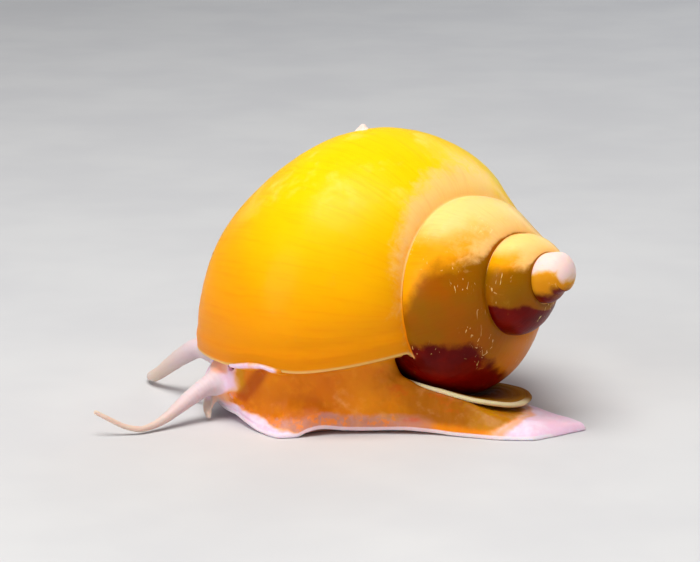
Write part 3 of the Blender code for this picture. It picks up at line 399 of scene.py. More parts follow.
def horn_material():
    m = Tree("operculum_horn_rings")
    rad, rim, near = m.layer("rad"), m.layer("rim"), m.layer("near")
    fine = m.noise(600.0, 4.0, 0.6)
    wide = m.noise(150.0, 3.0, 0.5)
    rings = m.noise(1.0, 4.0, 0.6, vec=m.combine(m.math("MULTIPLY", m.math("ADD", rad, m.math("MULTIPLY", wide, 0.03)), 60.0), 0.0, 0.0))
    # dark red-brown towards the centre, under the shell, amber towards the rim: the horn's own rings with painted
    # shadow of the shell
    col = m.mix(m.map(rings, 0.36, 0.68), srgb(92, 24, 0), srgb(124, 50, 0))
    col = m.mix(m.map(wide, 0.42, 0.66, 0.0, 0.6), col, srgb(118, 62, 0))
    col = m.mix(m.map(rad, 0.50, 0.96, 0.0, 0.70), col, srgb(184, 128, 0))
    col = m.mix(m.map(fine, 0.5, 0.8, 0.0, 0.35), col, srgb(100, 34, 0))
    # the thin rim: pale cream on the near side, a painted highlight, and darker on the far side under the shell,
    # painted shade
    edge = m.math("ADD", rim, m.math("MULTIPLY", m.math("SUBTRACT", fine, 0.5), 0.5))
    col = m.mix(m.map(edge, 0.30, 0.72), col, m.mix(near, srgb(150, 98, 8), srgb(246, 226, 178)))
    m.put(m.bsdf.inputs["Base Color"], col)
    m.put(m.bsdf.inputs["Roughness"], m.map(rings, 0.3, 0.7, 0.34, 0.54))
    m.put(m.bsdf.inputs["Normal"], m.bump(m.math("ADD", rings, m.math("MULTIPLY", fine, 0.4)), 0.25, 0.00006))
    b = m.bsdf
    b.inputs["Subsurface Weight"].default_value = 0.3
    b.inputs["Subsurface Radius"].default_value = (1.0, 0.5, 0.1)
    b.inputs["Subsurface Scale"].default_value = 0.0008
    b.inputs["Specular IOR Level"].default_value = 0.01
    b.inputs["Coat Weight"].default_value = 0.0
    return m.mat


def eye_material():
    m = Tree("eye_pigment")
    out = m.layer("out")
    col = m.mix(m.map(m.math("ADD", out, m.math("MULTIPLY", m.math("SUBTRACT", m.noise(3000.0), 0.5), 0.12)), 0.20, 0.42),
                srgb(120, 66, 30), srgb(12, 8, 8))
    m.put(m.bsdf.inputs["Base Color"], col)
    m.put(m.bsdf.inputs["Roughness"], m.map(m.noise(2500.0), 0.3, 0.7, 0.08, 0.14))
    m.bsdf.inputs["Coat Weight"].default_value = 1.0
    m.bsdf.inputs["Coat Roughness"].default_value = 0.03
    return m.mat


# -------------------------------------------------------------------- shell
SHELL_SIZE = 39.13
SHELL_APEX = np.array([23.080, -8.190, 17.904])
AXIS_TURN, AXIS_LIFT = 0.7141, 0.2094
WHORL_RATE, RATE_DRIFT, TALL_DRIFT = 1.8782, -0.0208, -0.0212
RING_R, RING_H = 0.3333, 0.7399
HALF_W, HALF_T = 0.2058, 0.3398
TILT, EGG, SQUARE = -0.2114, -0.0229, 0.0409
TH_END = -2.5167
LIP_LAG, LIP_LAG_POWER = 0.504, 0.4345
APEX_BULB = 0.0698
TURNS = 4.25
BASE_POLE = 0.93
BASE_EDGE = (52.0, 100.0)
BASE_ROUND = 0.9
AXIS = np.array([math.cos(AXIS_LIFT) * math.cos(AXIS_TURN),
                 -math.cos(AXIS_LIFT) * math.sin(AXIS_TURN), math.sin(AXIS_LIFT)])
AX_U = np.cross([0, 0, 1], AXIS)
AX_U /= np.linalg.norm(AX_U)
AX_V = np.cross(AXIS, AX_U)


def section(t):
    c, s = np.cos(t), np.sin(t)
    x = HALF_W * ((1 - SQUARE) * c + SQUARE * np.cos(3 * t)) * (1 + EGG * s)
    y = HALF_T * ((1 - SQUARE) * s - SQUARE * np.sin(3 * t))
    return x * math.cos(TILT) - y * math.sin(TILT), y * math.cos(TILT) + x * math.sin(TILT)


def whorl(th, t):
    n = (np.asarray(th, float) - TH_END) / (2 * math.pi)
    s = np.exp(math.log(WHORL_RATE) * n + RATE_DRIFT * n * n)
    sh = s * np.exp(TALL_DRIFT * n)
    st = (s ** 2.5 + APEX_BULB ** 2.5) ** 0.4
    x, y = section(t)
    return s * RING_R + st * x, sh * RING_H + st * y


def spin(th, r, h):
    th, r, h = np.broadcast_arrays(th, r, h)
    d = AX_U * np.cos(th)[..., None] + AX_V * np.sin(th)[..., None]
    return SHELL_APEX + (d * r[..., None] - AXIS * h[..., None]) * SHELL_SIZE


def suture(th, guess):
    t1, t2 = guess
    for _ in range(30):
        r1, h1 = whorl(th, t1)
        r0, h0 = whorl(th - 2 * math.pi, t2)
        e = np.array([r1 - r0, h1 - h0])
        if np.abs(e).max() < 1e-10:
            break
        d = 1e-6
        ra, ha = whorl(th, t1 + d)
        rb, hb = whorl(th - 2 * math.pi, t2 + d)
        J = np.array([[(ra - r1) / d, -(rb - r0) / d], [(ha - h1) / d, -(hb - h0) / d]])
        step = np.clip(np.linalg.solve(J, e), -0.15, 0.15)
        t1, t2 = t1 - step[0], t2 - step[1]
    return t1, t2


def first_suture():
    best = None
    for a in np.linspace(math.radians(230), math.radians(330), 41):
        for b in np.linspace(0, math.radians(110), 45):
            r1, h1 = whorl(TH_END, a)
            r0, h0 = whorl(TH_END - 2 * math.pi, b)
            d = math.hypot(r1 - r0, h1 - h0)
            if best is None or d < best[0]:
                best = (d, a, b)
    return suture(TH_END, best[1:])


def lip_lag(frac):
    return LIP_LAG * np.clip(frac, 0.0, 1.0) ** LIP_LAG_POWER


def dimple(q, t, f):
    r, h = whorl(q, t)
    r2, h2 = whorl(q, t + 0.01)
    chord = np.hypot(r, BASE_POLE - h)
    m = chord / np.hypot(r2 - r, h2 - h)
    a, b, c, d = (2 * f ** 3 - 3 * f * f + 1, f ** 3 - 2 * f * f + f, -2 * f ** 3 + 3 * f * f, f ** 3 - f * f)
    return (a * r + b * m * (r2 - r) - d * BASE_ROUND * chord,
            a * h + b * m * (h2 - h) + c * BASE_POLE)


def turn_back(P, angle):
    q = np.asarray(P, float) - SHELL_APEX
    h = -q @ AXIS
    x, y = q @ AX_U, q @ AX_V
    k = WHORL_RATE ** (-angle / (2 * math.pi))
    c, s = math.cos(-angle), math.sin(-angle)
    x, y = (x * c - y * s) * k, (x * s + y * c) * k
    return SHELL_APEX + np.multiply.outer(x, AX_U) + np.multiply.outer(y, AX_V) - np.multiply.outer(h * k, AXIS)


def build_shell(STEPS, BAND, WALL_STEPS, DIMPLE):
    """The visible shell: a ribbon wound along the sutures, the cap at the apex, the
    base drawn in to the axis, and the lip turned into the aperture."""
    BASE = WALL_STEPS + DIMPLE
    n = int(round(TURNS * STEPS))
    th = TH_END - 2 * math.pi * (n - np.arange(n + 1)) / STEPS
    coarse = 36
    nc = int(round(TURNS * coarse))
    thc = TH_END - 2 * math.pi * (nc - np.arange(nc + 1)) / coarse
    g = first_suture()
    upc, lowc = np.zeros(nc + 1), np.zeros(nc + 1)
    for i in range(nc, coarse - 1, -1):
        g = suture(thc[i], g)
        upc[i], lowc[i - coarse] = g
    up = np.interp(th, thc[coarse:], upc[coarse:])
    low = np.interp(th, thc[:nc - coarse + 1], lowc[:nc - coarse + 1])
    m = nc // 1
    # refine the interpolated suture angles
    for _ in range(3):
        k = np.arange(STEPS, n + 1)
        t1, t2 = up[k], low[k - STEPS]
        r1, h1 = whorl(th[k], t1)
        r0, h0 = whorl(th[k] - 2 * math.pi, t2)
        d = 1e-6
        ra, ha = whorl(th[k], t1 + d)
        rb, hb = whorl(th[k] - 2 * math.pi, t2 + d)
        a11, a12, a21, a22 = (ra - r1) / d, -(rb - r0) / d, (ha - h1) / d, -(hb - h0) / d
        det = a11 * a22 - a12 * a21
        e1, e2 = r1 - r0, h1 - h0
        up[k] = t1 - (a22 * e1 - a12 * e2) / det
        low[k - STEPS] = t2 - (a11 * e2 - a21 * e1) / det
    low[n - STEPS + 1:] = low[n - STEPS]
    f = np.arange(STEPS) / STEPS
    up[:STEPS] = (1 - f) * low[0] + f * (up[STEPS] - 2 * math.pi) + 2 * math.pi

    edge = [math.radians(a) for a in BASE_EDGE]
    t_end = edge[1]

    # lag of the lip along the last column
    cols = [up[n] - 2 * math.pi + (low[n] - up[n] + 2 * math.pi) * j / BAND for j in range(BAND + 1)]
    cols += [low[n] + (t_end - low[n]) * (k + 1) / WALL_STEPS for k in range(WALL_STEPS)]
    rh = [tuple(float(v) for v in whorl(TH_END, t)) for t in cols]
    rh += [tuple(float(v) for v in dimple(TH_END, t_end, (k + 1) / (DIMPLE + 1))) for k in range(DIMPLE)]
    rh = np.array(rh)
    arc = np.concatenate([[0], np.cumsum(np.hypot(*np.diff(rh, axis=0).T))])
    tt = cols[0] + 2 * math.pi * 0.62 * np.arange(201) / 200
    fr, fh = whorl(TH_END, tt)
    whole = np.hypot(np.diff(fr), np.diff(fh)).sum()
    lag_end = lip_lag(arc / whole)
    lag_start = LIP_LAG * (np.arange(BASE + 1) / BASE) ** 0.5

    j = np.arange(BAND + 1)
    T = (up - 2 * math.pi)[:, None] + (low - up + 2 * math.pi)[:, None] * j[None, :] / BAND
    fr = np.clip((np.arange(n + 1) - (n - STEPS)) / STEPS, 0, 1)
    back = lag_end[None, :BAND + 1] * smooth((fr - 0.35) / 0.65)[:, None]
    Q = th[:, None] - back
    R, H = whorl(Q, T)
    # first column uses its own angle for the turn inside it
    grid = spin(Q, R, H)
    index = np.arange((n + 1) * (BAND + 1)).reshape(n + 1, BAND + 1)
    own = index.copy()
    own[:n + 1 - STEPS, BAND] = index[STEPS:, 0]
    V = [grid.reshape(-1, 3)]
    turn = [np.repeat((th - TH_END) / (2 * math.pi), BAND + 1)]
    across = [np.tile(j / BAND, n + 1).astype(float)]
    quads = [np.stack([own[:-1, :-1], own[1:, :-1], own[1:, 1:], own[:-1, 1:]], -1).reshape(-1, 4)]
    tris = []
    count = len(V[0])

    # apex cap
    loop = own[:STEPS, 0]
    P0 = V[0][loop]
    ctr = P0.mean(axis=0)
    tip_h = float(whorl(th[STEPS // 2], math.radians(268))[1]) - 0.001
    lift = (SHELL_APEX - AXIS * tip_h * SHELL_SIZE - ctr) @ AXIS
    prev = loop
    for fq in np.linspace(0.9, 0.1, 9):
        ring = P0 * fq + ctr * (1 - fq) + AXIS * lift * math.sqrt(max(0.0, 1 - fq * fq))
        idx = np.arange(STEPS) + count
        V.append(ring)
        turn.append(np.full(STEPS, -TURNS))
        across.append(np.full(STEPS, 0.0))
        count += STEPS
        quads.append(np.stack([idx, np.roll(idx, -1), np.roll(prev, -1), prev], -1))
        prev = idx
    V.append((ctr + AXIS * lift)[None])
    turn.append(np.array([-TURNS]))
    across.append(np.array([0.0]))
    tris.append(np.stack([np.roll(prev, -1), prev, np.full(STEPS, count)], -1))
    count += 1

    # base of the last turn
    i0 = n - STEPS
    w = np.arange(STEPS + 1) / STEPS
    k = np.arange(BASE + 1)
    kk = np.minimum(k, WALL_STEPS) / WALL_STEPS
    lo_t = low[i0:]
    Tb = lo_t[:, None] + (edge[0] + (edge[1] - edge[0]) * w[:, None] - lo_t[:, None]) * kk[None, :]
    Qb = ((th[i0] - lag_start)[None, :] * (1 - w[:, None])
          + (TH_END - lag_end[BAND:])[None, :] * w[:, None])
    Rb, Hb = whorl(Qb, Tb)
    for q in range(1, DIMPLE + 1):
        r2, h2 = dimple(Qb[:, WALL_STEPS + q], Tb[:, WALL_STEPS + q], q / (DIMPLE + 1))
        Rb[:, WALL_STEPS + q], Hb[:, WALL_STEPS + q] = r2, h2
    G = spin(Qb, Rb, Hb)
    bi = np.arange((STEPS + 1) * (BASE + 1)).reshape(STEPS + 1, BASE + 1) + count
    V.append(G.reshape(-1, 3))
    turn.append(np.repeat(w - 1.0, BASE + 1))
    across.append(np.tile(1.0 + k / BASE, STEPS + 1))
    count += bi.size
    bi[:, 0] = own[i0:, BAND]
    bi[0, 0] = own[i0, BAND]
    quads.append(np.stack([bi[:-1, :-1], bi[1:, :-1], bi[1:, 1:], bi[:-1, 1:]], -1).reshape(-1, 4))
    pole = count
    V.append(spin(np.array(0.0), np.array(0.0), np.array(BASE_POLE))[None])
    turn.append(np.array([-0.5]))
    across.append(np.array([2.0]))
    count += 1
    tris.append(np.stack([bi[:-1, BASE], bi[1:, BASE], np.full(STEPS, pole)], -1))

    # aperture
    inner_lip = max(1, int(round(DIMPLE * 0.5)))
    last = WALL_STEPS + inner_lip
    outer = np.concatenate([own[n], bi[STEPS, 1:last + 1]])
    inner = bi[0, 1:last + 1][::-1]
    allV = np.concatenate(V)
    a, b = allV[outer[-1]], allV[inner[0]]
    M = 24
    fq = (np.arange(M) + 1.0) / (M + 1)
    mids = np.arange(M) + count
    V.append(a + (b - a) * fq[:, None])
    turn.append(np.full(M, 0.0))
    across.append(np.full(M, 1.6))
    count += M
    ring = np.concatenate([outer, mids, inner])
    # wall between the inner lip and the axis
    chain = np.concatenate([[outer[-1]], mids, [inner[0]]])
    e0, e1 = bi[STEPS, last + 1:], bi[0, last + 1:]
    half = len(chain) // 2
    tris.append(np.stack([chain[:half], chain[1:half + 1], np.full(half, e0[0])], -1))
    tris.append(np.stack([chain[half:-1], chain[half + 1:], np.full(len(chain) - 1 - half, e1[0])], -1))
    tris.append(np.array([[chain[half], e1[0], e0[0]]]))
    quads.append(np.stack([e0[:-1], e1[:-1], e1[1:], e0[1:]], -1))
    tris.append(np.array([[e0[-1], e1[-1], pole]]))
    allV = np.concatenate(V)
    P = allV[ring]
    mid = P.mean(axis=0)

    def drawn(inset, angle):
        d = mid - P
        L = np.linalg.norm(d, axis=1)
        return turn_back(P + d * np.minimum(0.92, inset / L)[:, None], angle)

    prev = ring
    for inset, angle in ((0.06, -0.004), (0.18, -0.006), (0.32, -0.003), (0.42, 0.006), (0.50, 0.03), (0.60, 0.08),
                         (0.85, 0.16), (1.2, 0.24), (2.0, 0.31), (3.4, 0.35), (5.2, 0.36)):
        idx = np.arange(len(ring)) + count
        V.append(drawn(inset, angle))
        turn.append(np.full(len(ring), 0.0))
        across.append(np.full(len(ring), 2.5))
        count += len(ring)
        quads.append(np.stack([idx, np.roll(idx, -1), np.roll(prev, -1), prev], -1))
        prev = idx
    allV = np.concatenate(V)
    V.append(allV[prev].mean(axis=0)[None])
    turn.append(np.array([0.0]))
    across.append(np.array([2.5]))
    tris.append(np.stack([np.roll(prev, -1), prev, np.full(len(prev), count)], -1))
    count += 1
    V = np.concatenate(V)
    turn, across = np.concatenate(turn), np.concatenate(across)
    # the outer lip's points, from which the distance to the lip is taken later
    Pc = allV[outer]
    return V, [np.concatenate(quads), np.concatenate(tris)], turn, across, P, Pc


def compact(V, groups, layers):
    used = np.zeros(len(V), bool)
    for g in groups:
        used[g.ravel()] = True
    new = np.cumsum(used) - 1
    return V[used], [new[g] for g in groups], [l[used] for l in layers]


def near_line(V, line, reach):
    """Distance from each point to a polyline, up to reach."""
    out = np.full(len(V), float(reach))
    lo, hi = line.min(axis=0) - reach, line.max(axis=0) + reach
    sel = np.where(((V > lo) & (V < hi)).all(axis=1))[0]
    Q = V[sel]
    best = np.full(len(sel), float(reach))
    for a, b in zip(line[:-1], line[1:]):
        ab = b - a
        L = ab @ ab
        if L < 1e-12:
            continue
        t = np.clip((Q - a) @ ab / L, 0, 1)
        best = np.minimum(best, np.linalg.norm(Q - a - t[:, None] * ab, axis=1))
    out[sel] = best
    return out


V, G, TURN, ACROSS, APERTURE, LIP = build_shell(360, 48, 14, 12)
V, G, (TURN, ACROSS) = compact(V, G, [TURN, ACROSS])
keep = [g[[len(set(r)) == len(r) for r in g.tolist()]] for g in G]
G = keep
q = V - SHELL_APEX
HT = -(q @ AXIS)
dome_c = SHELL_APEX - AXIS * 3.10
e = V - dome_c
ax = e @ AXIS
rad = e - ax[:, None] * AXIS
norm = np.sqrt((ax / 2.13) ** 2 + (np.linalg.norm(rad, axis=1) / 2.42) ** 2)
wd = (1.0 - ramp(HT, 1.95, 2.95)) * (ACROSS < 2.2) * (TURN < -2.0)
V = V + (e / np.maximum(norm, 1e-6)[:, None] - e) * wd[:, None]
N = point_normals(V, G)
if (N * (V - SHELL_APEX + AXIS * 0.5 * SHELL_SIZE)).sum() < 0:
    G = [g[:, ::-1] for g in G]
    N = -N
R_AX = np.linalg.norm(np.cross(V - SHELL_APEX, AXIS), axis=1)
lipd = near_line(V, LIP, 9.0)
outside = ACROSS < 2.2
# growth lines and soft growth checks, in the geometry
wob = ACROSS * 0.9 + 0.05 * noise3(V * 0.35)
g1 = noise3(np.stack([TURN * 120.0 + wob * 2.0, ACROSS * 1.5, TURN * 0 + 3.1], 1))
g2 = noise3(np.stack([TURN * 34.0 + wob, ACROSS * 0.8, TURN * 0 + 9.7], 1))
size = np.clip(R_AX / 14.0, 0.05, 1.0)
amp = outside * size * np.clip(1.0 - np.abs(ACROSS - 0.5) * 0.0, 0, 1)
disp = amp * (0.035 * g1 + 0.05 * g2) + amp * 0.05 * fractal(V * 0.22, 2)
# a low welt behind the lip
disp += outside * 0.10 * np.exp(-((lipd - 1.5) / 0.5) ** 2) * 0.6
disp += outside * -0.05 * np.exp(-((lipd - 2.6) / 0.5) ** 2)
# nearness to the sutures, meant for impressing them; it is not applied
sut = np.minimum(ACROSS, np.abs(1.0 - ACROSS)) * np.where(ACROSS <= 1.0, 1.0, 9.0)
last_low = (ACROSS > 0.5) & (TURN > -1.0)
sut = np.where(last_low, 9.0, sut)
# the crown and the rear shoulders are a little flatter than the spiral gives
for c, deep, wide in (((-9.2, 7.5, 24.2), 0.34, 5.2), ((17.8, 9.2, 21.6), 0.60, 3.0), ((19.3, 1.0, 20.9), 0.50, 2.2)):
    disp -= deep * np.exp(-(np.linalg.norm(V - np.array(c), axis=1) / wide) ** 2)
V = V + N * disp[:, None]
ARCH = np.array([-9.7, -5.75, 6.66])
arch_w = np.exp(-(np.linalg.norm(V - ARCH, axis=1) / 3.0) ** 2) * (1.0 - ramp(lipd, 0.0, 4.5))
V = V + np.array([0.0, -0.05, 0.80]) * arch_w[:, None]
# UP, how far each face points up, places the painted light and shade in the shell's colours
UP = N[:, 2]
# pale band below each suture, weaker on downward faces: the shell's banding with painted light
band = np.clip(1.0 - ACROSS / (0.28 + 0.40 * ramp(-TURN, 0.14, 0.42)), -1.0, 1.0)
PALE = np.where(TURN > -1.02, band * ramp(UP, -0.25, 0.45) * ramp(TURN, -0.62, -0.34),
                np.clip(1.0 - ACROSS / 0.78, 0.0, 1.0) * ramp(UP, 0.0, 0.5)) * (ACROSS <= 1.0)
PALE = np.maximum(PALE, 0.0)
# worn white apex, limited to upward faces: wear with a painted highlight
APEX = np.maximum(ramp(-TURN, 2.55, 2.85) * ramp(UP, 0.05, 0.50), (1 - ramp(HT, 1.3, 2.3)) * ramp(UP, -0.45, 0.15))
LIPL = 1.0 - np.clip(lipd / 9.0, 0, 1)
# RIM: the thin line along the lip that carries the painted highlight
RIM = np.clip(1.0 - lipd / 0.45, 0, 1) * ((ACROSS < 1.9) | (ACROSS > 2.4))
shell_vis = mesh_piece("shell_wall", V, G, shell_material(),
                       {"up": UP, "turn": TURN, "across": ACROSS, "pale": PALE, "apex": APEX,
                        "lip": LIPL, "rim": RIM})
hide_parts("shell")


# a chip of chalky growth on the crown
fine_tree = BVHTree.FromPolygons([tuple(v) for v in V], [tuple(r) for r in G[0].tolist()])
hit = fine_tree.ray_cast(Vector((1.3, 7.9, 60.0)), Vector((0.0, 0.0, -1.0)))
cb, cn = np.array(hit[0]), np.array(hit[1])
if cn[2] < 0:
    cn = -cn
cu = np.cross(cn, [0.0, 1.0, 0.0])
cu /= np.linalg.norm(cu)
cv = np.cross(cn, cu)
au, av = 2 * math.pi * np.arange(36) / 36, np.linspace(0.0, 1.0, 15)
CV = []
for t in av[:-1]:
    rr = 0.80 * (1 - t) ** 0.75 * (1 + 0.16 * np.cos(3 * au + 0.6) + 0.07 * np.sin(5 * au))
    CV.append(cb + cn * (-0.14 + 0.78 * t) + cu * (rr * np.cos(au) * 1.05 - 0.16 * t)[:, None]
              + cv * (rr * np.sin(au) * 0.72)[:, None])
CV = np.concatenate(CV + [(cb + cn * 0.62 - cu * 0.16)[None]])
CV += 0.05 * np.stack([fractal(CV * 2.4 + k * 9.1, 2) for k in range(3)], 1)
ci = np.arange(14 * 36).reshape(14, 36)
chip_quads = np.stack([ci[:-1], np.roll(ci, -1, axis=1)[:-1], np.roll(ci, -1, axis=1)[1:], ci[1:]], -1).reshape(-1, 4)
chip_tris = np.stack([ci[-1], np.roll(ci[-1], -1), np.full(36, len(CV) - 1)], -1)
cm = Tree("chalky_chip")
cm.put(cm.bsdf.inputs["Base Color"], cm.mix(cm.map(cm.noise(1800.0, 4.0), 0.35, 0.65), srgb(244, 214, 206), srgb(255, 240, 234)))
cm.put(cm.bsdf.inputs["Roughness"], cm.map(cm.noise(900.0), 0.3, 0.7, 0.5, 0.7))
cm.put(cm.bsdf.inputs["Normal"], cm.bump(cm.noise(2600.0, 4.0), 0.4, 0.00008))
chip = mesh_piece("crown_chip", CV, [chip_quads, chip_tris], cm.mat, {})


# --------------------------------------------------------------------- skin
MARGIN = [(-12.0, -1.0, 8.4), (-9.5, -5.2, 11.0), (-7.2, -7.4, 12.0), (-4.6, -6.9, 12.1),
          (-1.5, -5.9, 11.6), (3.0, -5.6, 11.0), (8.0, -5.9, 10.2), (12.0, -7.0, 9.0),
          (16.0, -8.1, 6.4), (18.5, -8.2, 4.2), (21.0, -6.9, 1.6), (23.3, -5.2, -1.6), (24.7, -4.2, -3.6)]
FRONT_X = -13.7
WALL = [(-13.6, 1.05, 1.05), (-11.0, 1.35, 1.35), (-8.0, 2.2, 2.0), (-3.0, 3.3, 2.8),
        (3.0, 4.8, 3.0), (5.7, 5.8, 2.9), (8.0, 5.3, 2.6), (11.0, 4.3, 2.2), (13.0, 3.2, 1.9),
        (15.5, 2.3, 1.6), (17.5, 1.8, 1.35), (20.0, 1.45, 1.15), (23.0, 1.0, 0.9), (24.7, 0.7, 0.7)]
OPERC_C, OPERC_R, OPERC_T = (10.9, 1.0), (8.3, 6.5), 0.6
HEAD_ROWS = [(-8.6, 2.9, 5.0, 2.9, 2.0), (-10.4, 3.0, 4.95, 2.8, 2.0), (-12.2, 3.1, 4.62, 2.95, 2.1),
             (-13.4, 3.1, 3.95, 2.8, 1.85), (-14.2, 3.0, 3.05, 2.3, 1.40), (-14.55, 2.9, 2.2, 1.8, 0.95),
             (-14.65, 2.8, 1.5, 1.45, 0.72)]
TENTACLES = {
    "left": [(-12.7, 1.3, 4.6, 1.28, 1.22), (-13.9, 0.0, 4.25, 1.22, 1.17), (-15.2, -0.6, 3.73, 1.01, 0.97),
             (-16.73, -1.6, 2.81, 0.86, 0.84), (-17.94, -2.6, 2.01, 0.70, 0.69), (-19.25, -3.7, 1.16, 0.52, 0.52),
             (-20.6, -4.8, 0.66, 0.38, 0.38), (-21.8, -5.6, 0.56, 0.33, 0.33), (-23.3, -6.0, 0.99, 0.29, 0.29),
             (-24.8, -6.3, 1.83, 0.27, 0.27), (-26.2, -6.3, 2.58, 0.25, 0.25)],
    "right": [(-12.8, 4.9, 4.7, 1.25, 1.20), (-14.3, 6.5, 5.50, 1.22, 1.18), (-16.1, 8.0, 5.80, 1.16, 1.12),
              (-17.85, 9.5, 4.66, 1.02, 1.00), (-19.62, 11.5, 2.96, 0.86, 0.84), (-21.2, 13.4, 1.32, 0.66, 0.64),
              (-21.9, 14.8, 0.76, 0.50, 0.48), (-22.0, 16.4, 0.62, 0.38, 0.38), (-21.4, 18.2, 0.70, 0.29, 0.29),
              (-20.3, 19.6, 1.00, 0.25, 0.25)],
}
EYE_AT = {"left": (-12.0, -1.05, 6.15), "right": (-11.7, 7.25, 6.15)}
EYE_R = 0.46
EYE_STALKS = {"left": [(-12.1, 1.4, 4.9, 0.98, 0.98), (-12.05, 0.4, 5.35, 0.92, 0.92), (-12.0, -0.45, 5.8, 0.80, 0.80)],
              "right": [(-11.8, 4.7, 4.95, 0.98, 0.98), (-11.75, 5.8, 5.40, 0.92, 0.92), (-11.7, 6.65, 5.8, 0.80, 0.80)]}
PALPS = {"left": [(-14.0, 2.0, 3.0, 0.52, 0.52), (-14.65, 1.0, 1.95, 0.60, 0.60),
                  (-14.85, 0.2, 1.15, 0.50, 0.50), (-14.8, -0.5, 0.62, 0.30, 0.30)],
         "right": [(-14.1, 4.0, 3.0, 0.50, 0.50), (-15.0, 5.3, 2.0, 0.42, 0.42),
                   (-15.9, 6.1, 1.25, 0.33, 0.33), (-16.6, 6.6, 0.85, 0.27, 0.27)]}
THROAT = [[(-6.0, -1.2, 5.4, 3.6, 3.0), (-8.6, -0.9, 5.1, 3.1, 2.7), (-10.6, 0.0, 4.9, 2.7, 2.4), (-12.4, 1.4, 4.4, 2.1, 1.9)],
          [(-6.0, 0.2, 2.2, 4.6, 1.9), (-9.0, 0.8, 2.2, 3.8, 1.8), (-11.2, 1.8, 2.4, 2.9, 1.7), (-12.6, 2.6, 2.6, 2.1, 1.5)]]
MUSCLE = [[(0.0, 6.2, 4.0, 2.6, 2.2), (3.6, 7.0, 3.4, 2.1, 1.7), (6.2, 8.2, 2.5, 1.5, 1.1), (8.4, 8.9, 1.9, 1.0, 0.8)]]
SIPHON_ROWS = [(-9.2, 7.0, 7.0, 1.3, 0.95), (-11.2, 8.9, 6.9, 1.35, 0.95),
               (-13.0, 10.3, 6.4, 1.2, 0.85), (-14.3, 11.3, 5.7, 1.05, 0.75)]
STALK_C, STALK_R, STALK_FRONT = (-2.7, 1.9), (6.9, 6.7), -9.5

STEP = 0.135
LO = np.array([-27.4, -9.4, -0.6])
HI = np.array([25.6, 20.9, 13.6])
DIM = np.ceil((HI - LO) / STEP).astype(int) + 1
XS, YS, ZS = (LO[k] + STEP * np.arange(DIM[k]) for k in range(3))


def smin(a, b, k):
    h = np.maximum(k - np.abs(a - b), 0.0) / k
    return np.minimum(a, b) - h * h * k * 0.25


def smax(a, b, k):
    return -smin(-a, -b, k)


def window(lo, hi):
    sl = []
    for k in range(3):
        a = int(max(0, math.floor((lo[k] - LO[k]) / STEP)))
        b = int(min(DIM[k], math.ceil((hi[k] - LO[k]) / STEP) + 1))
        sl.append(slice(a, max(a, b)))
    return tuple(sl)


def local(sl):
    return (XS[sl[0]][:, None, None], YS[sl[1]][None, :, None], ZS[sl[2]][None, None, :])


def curve_points(rows, count):
    pts = np.array([r[:3] for r in rows], float)
    s = np.concatenate([[0], np.cumsum(np.linalg.norm(np.diff(pts, axis=0), axis=1))])
    val = np.array(rows, float)
    out = []
    for q in np.linspace(0, s[-1], count):
        i = int(np.clip(np.searchsorted(s, q, side="right") - 1, 0, len(s) - 2))
        p0, p1, p2 = val[max(0, i - 1)], val[i], val[i + 1]
        p3 = val[min(len(val) - 1, i + 2)]
        t = (q - s[i]) / (s[i + 1] - s[i])
        out.append(0.5 * ((2 * p1) + (p2 - p0) * t + (2 * p0 - 5 * p1 + 4 * p2 - p3) * t * t
                          + (3 * p1 - p0 - 3 * p2 + p3) * t ** 3))
    return np.array(out)


def limb_field(rows, count, reach=1.6):
    """Window of the grid and the distance in it to a curved, tapering, oval form."""
    C = curve_points(rows, count)
    P, ra, rb = C[:, :3], C[:, 3], C[:, 4]
    big = np.maximum(ra, rb)
    lo = (P - big[:, None]).min(axis=0) - reach
    hi = (P + big[:, None]).max(axis=0) + reach
    whole = window(lo, hi)
    shape = tuple(s.stop - s.start for s in whole)
    F = np.full(shape, 9.0, np.float32)
    side = None
    for i in range(len(P) - 1):
        a, b = P[i], P[i + 1]
        ab = b - a
        L = np.linalg.norm(ab)
        t = ab / L
        if side is None:
            side = np.cross(t, [0, 0, 1])
        side = side - t * (side @ t)
        side /= np.linalg.norm(side)
        upw = np.cross(side, t)
        r = max(big[i], big[i + 1]) + reach
        sl = window(np.maximum(np.minimum(a, b) - r, lo), np.minimum(np.maximum(a, b) + r, hi))
        x, y, z = local(sl)
        px, py, pz = x - a[0], y - a[1], z - a[2]
        s = np.clip((px * t[0] + py * t[1] + pz * t[2]) / L, 0, 1)
        qx, qy, qz = px - s * ab[0], py - s * ab[1], pz - s * ab[2]
        A, B = ra[i] + (ra[i + 1] - ra[i]) * s, rb[i] + (rb[i + 1] - rb[i]) * s
        m = np.minimum(A, B)
        u = (qx * side[0] + qy * side[1] + qz * side[2]) / A
        v = (qx * upw[0] + qy * upw[1] + qz * upw[2]) / B
        w = (qx * t[0] + qy * t[1] + qz * t[2]) / m
        d = (np.sqrt(u * u + v * v + w * w) - 1.0) * m
        at = tuple(slice(sl[k].start - whole[k].start, sl[k].stop - whole[k].start) for k in range(3))
        F[at] = np.minimum(F[at], d)
    return whole, F


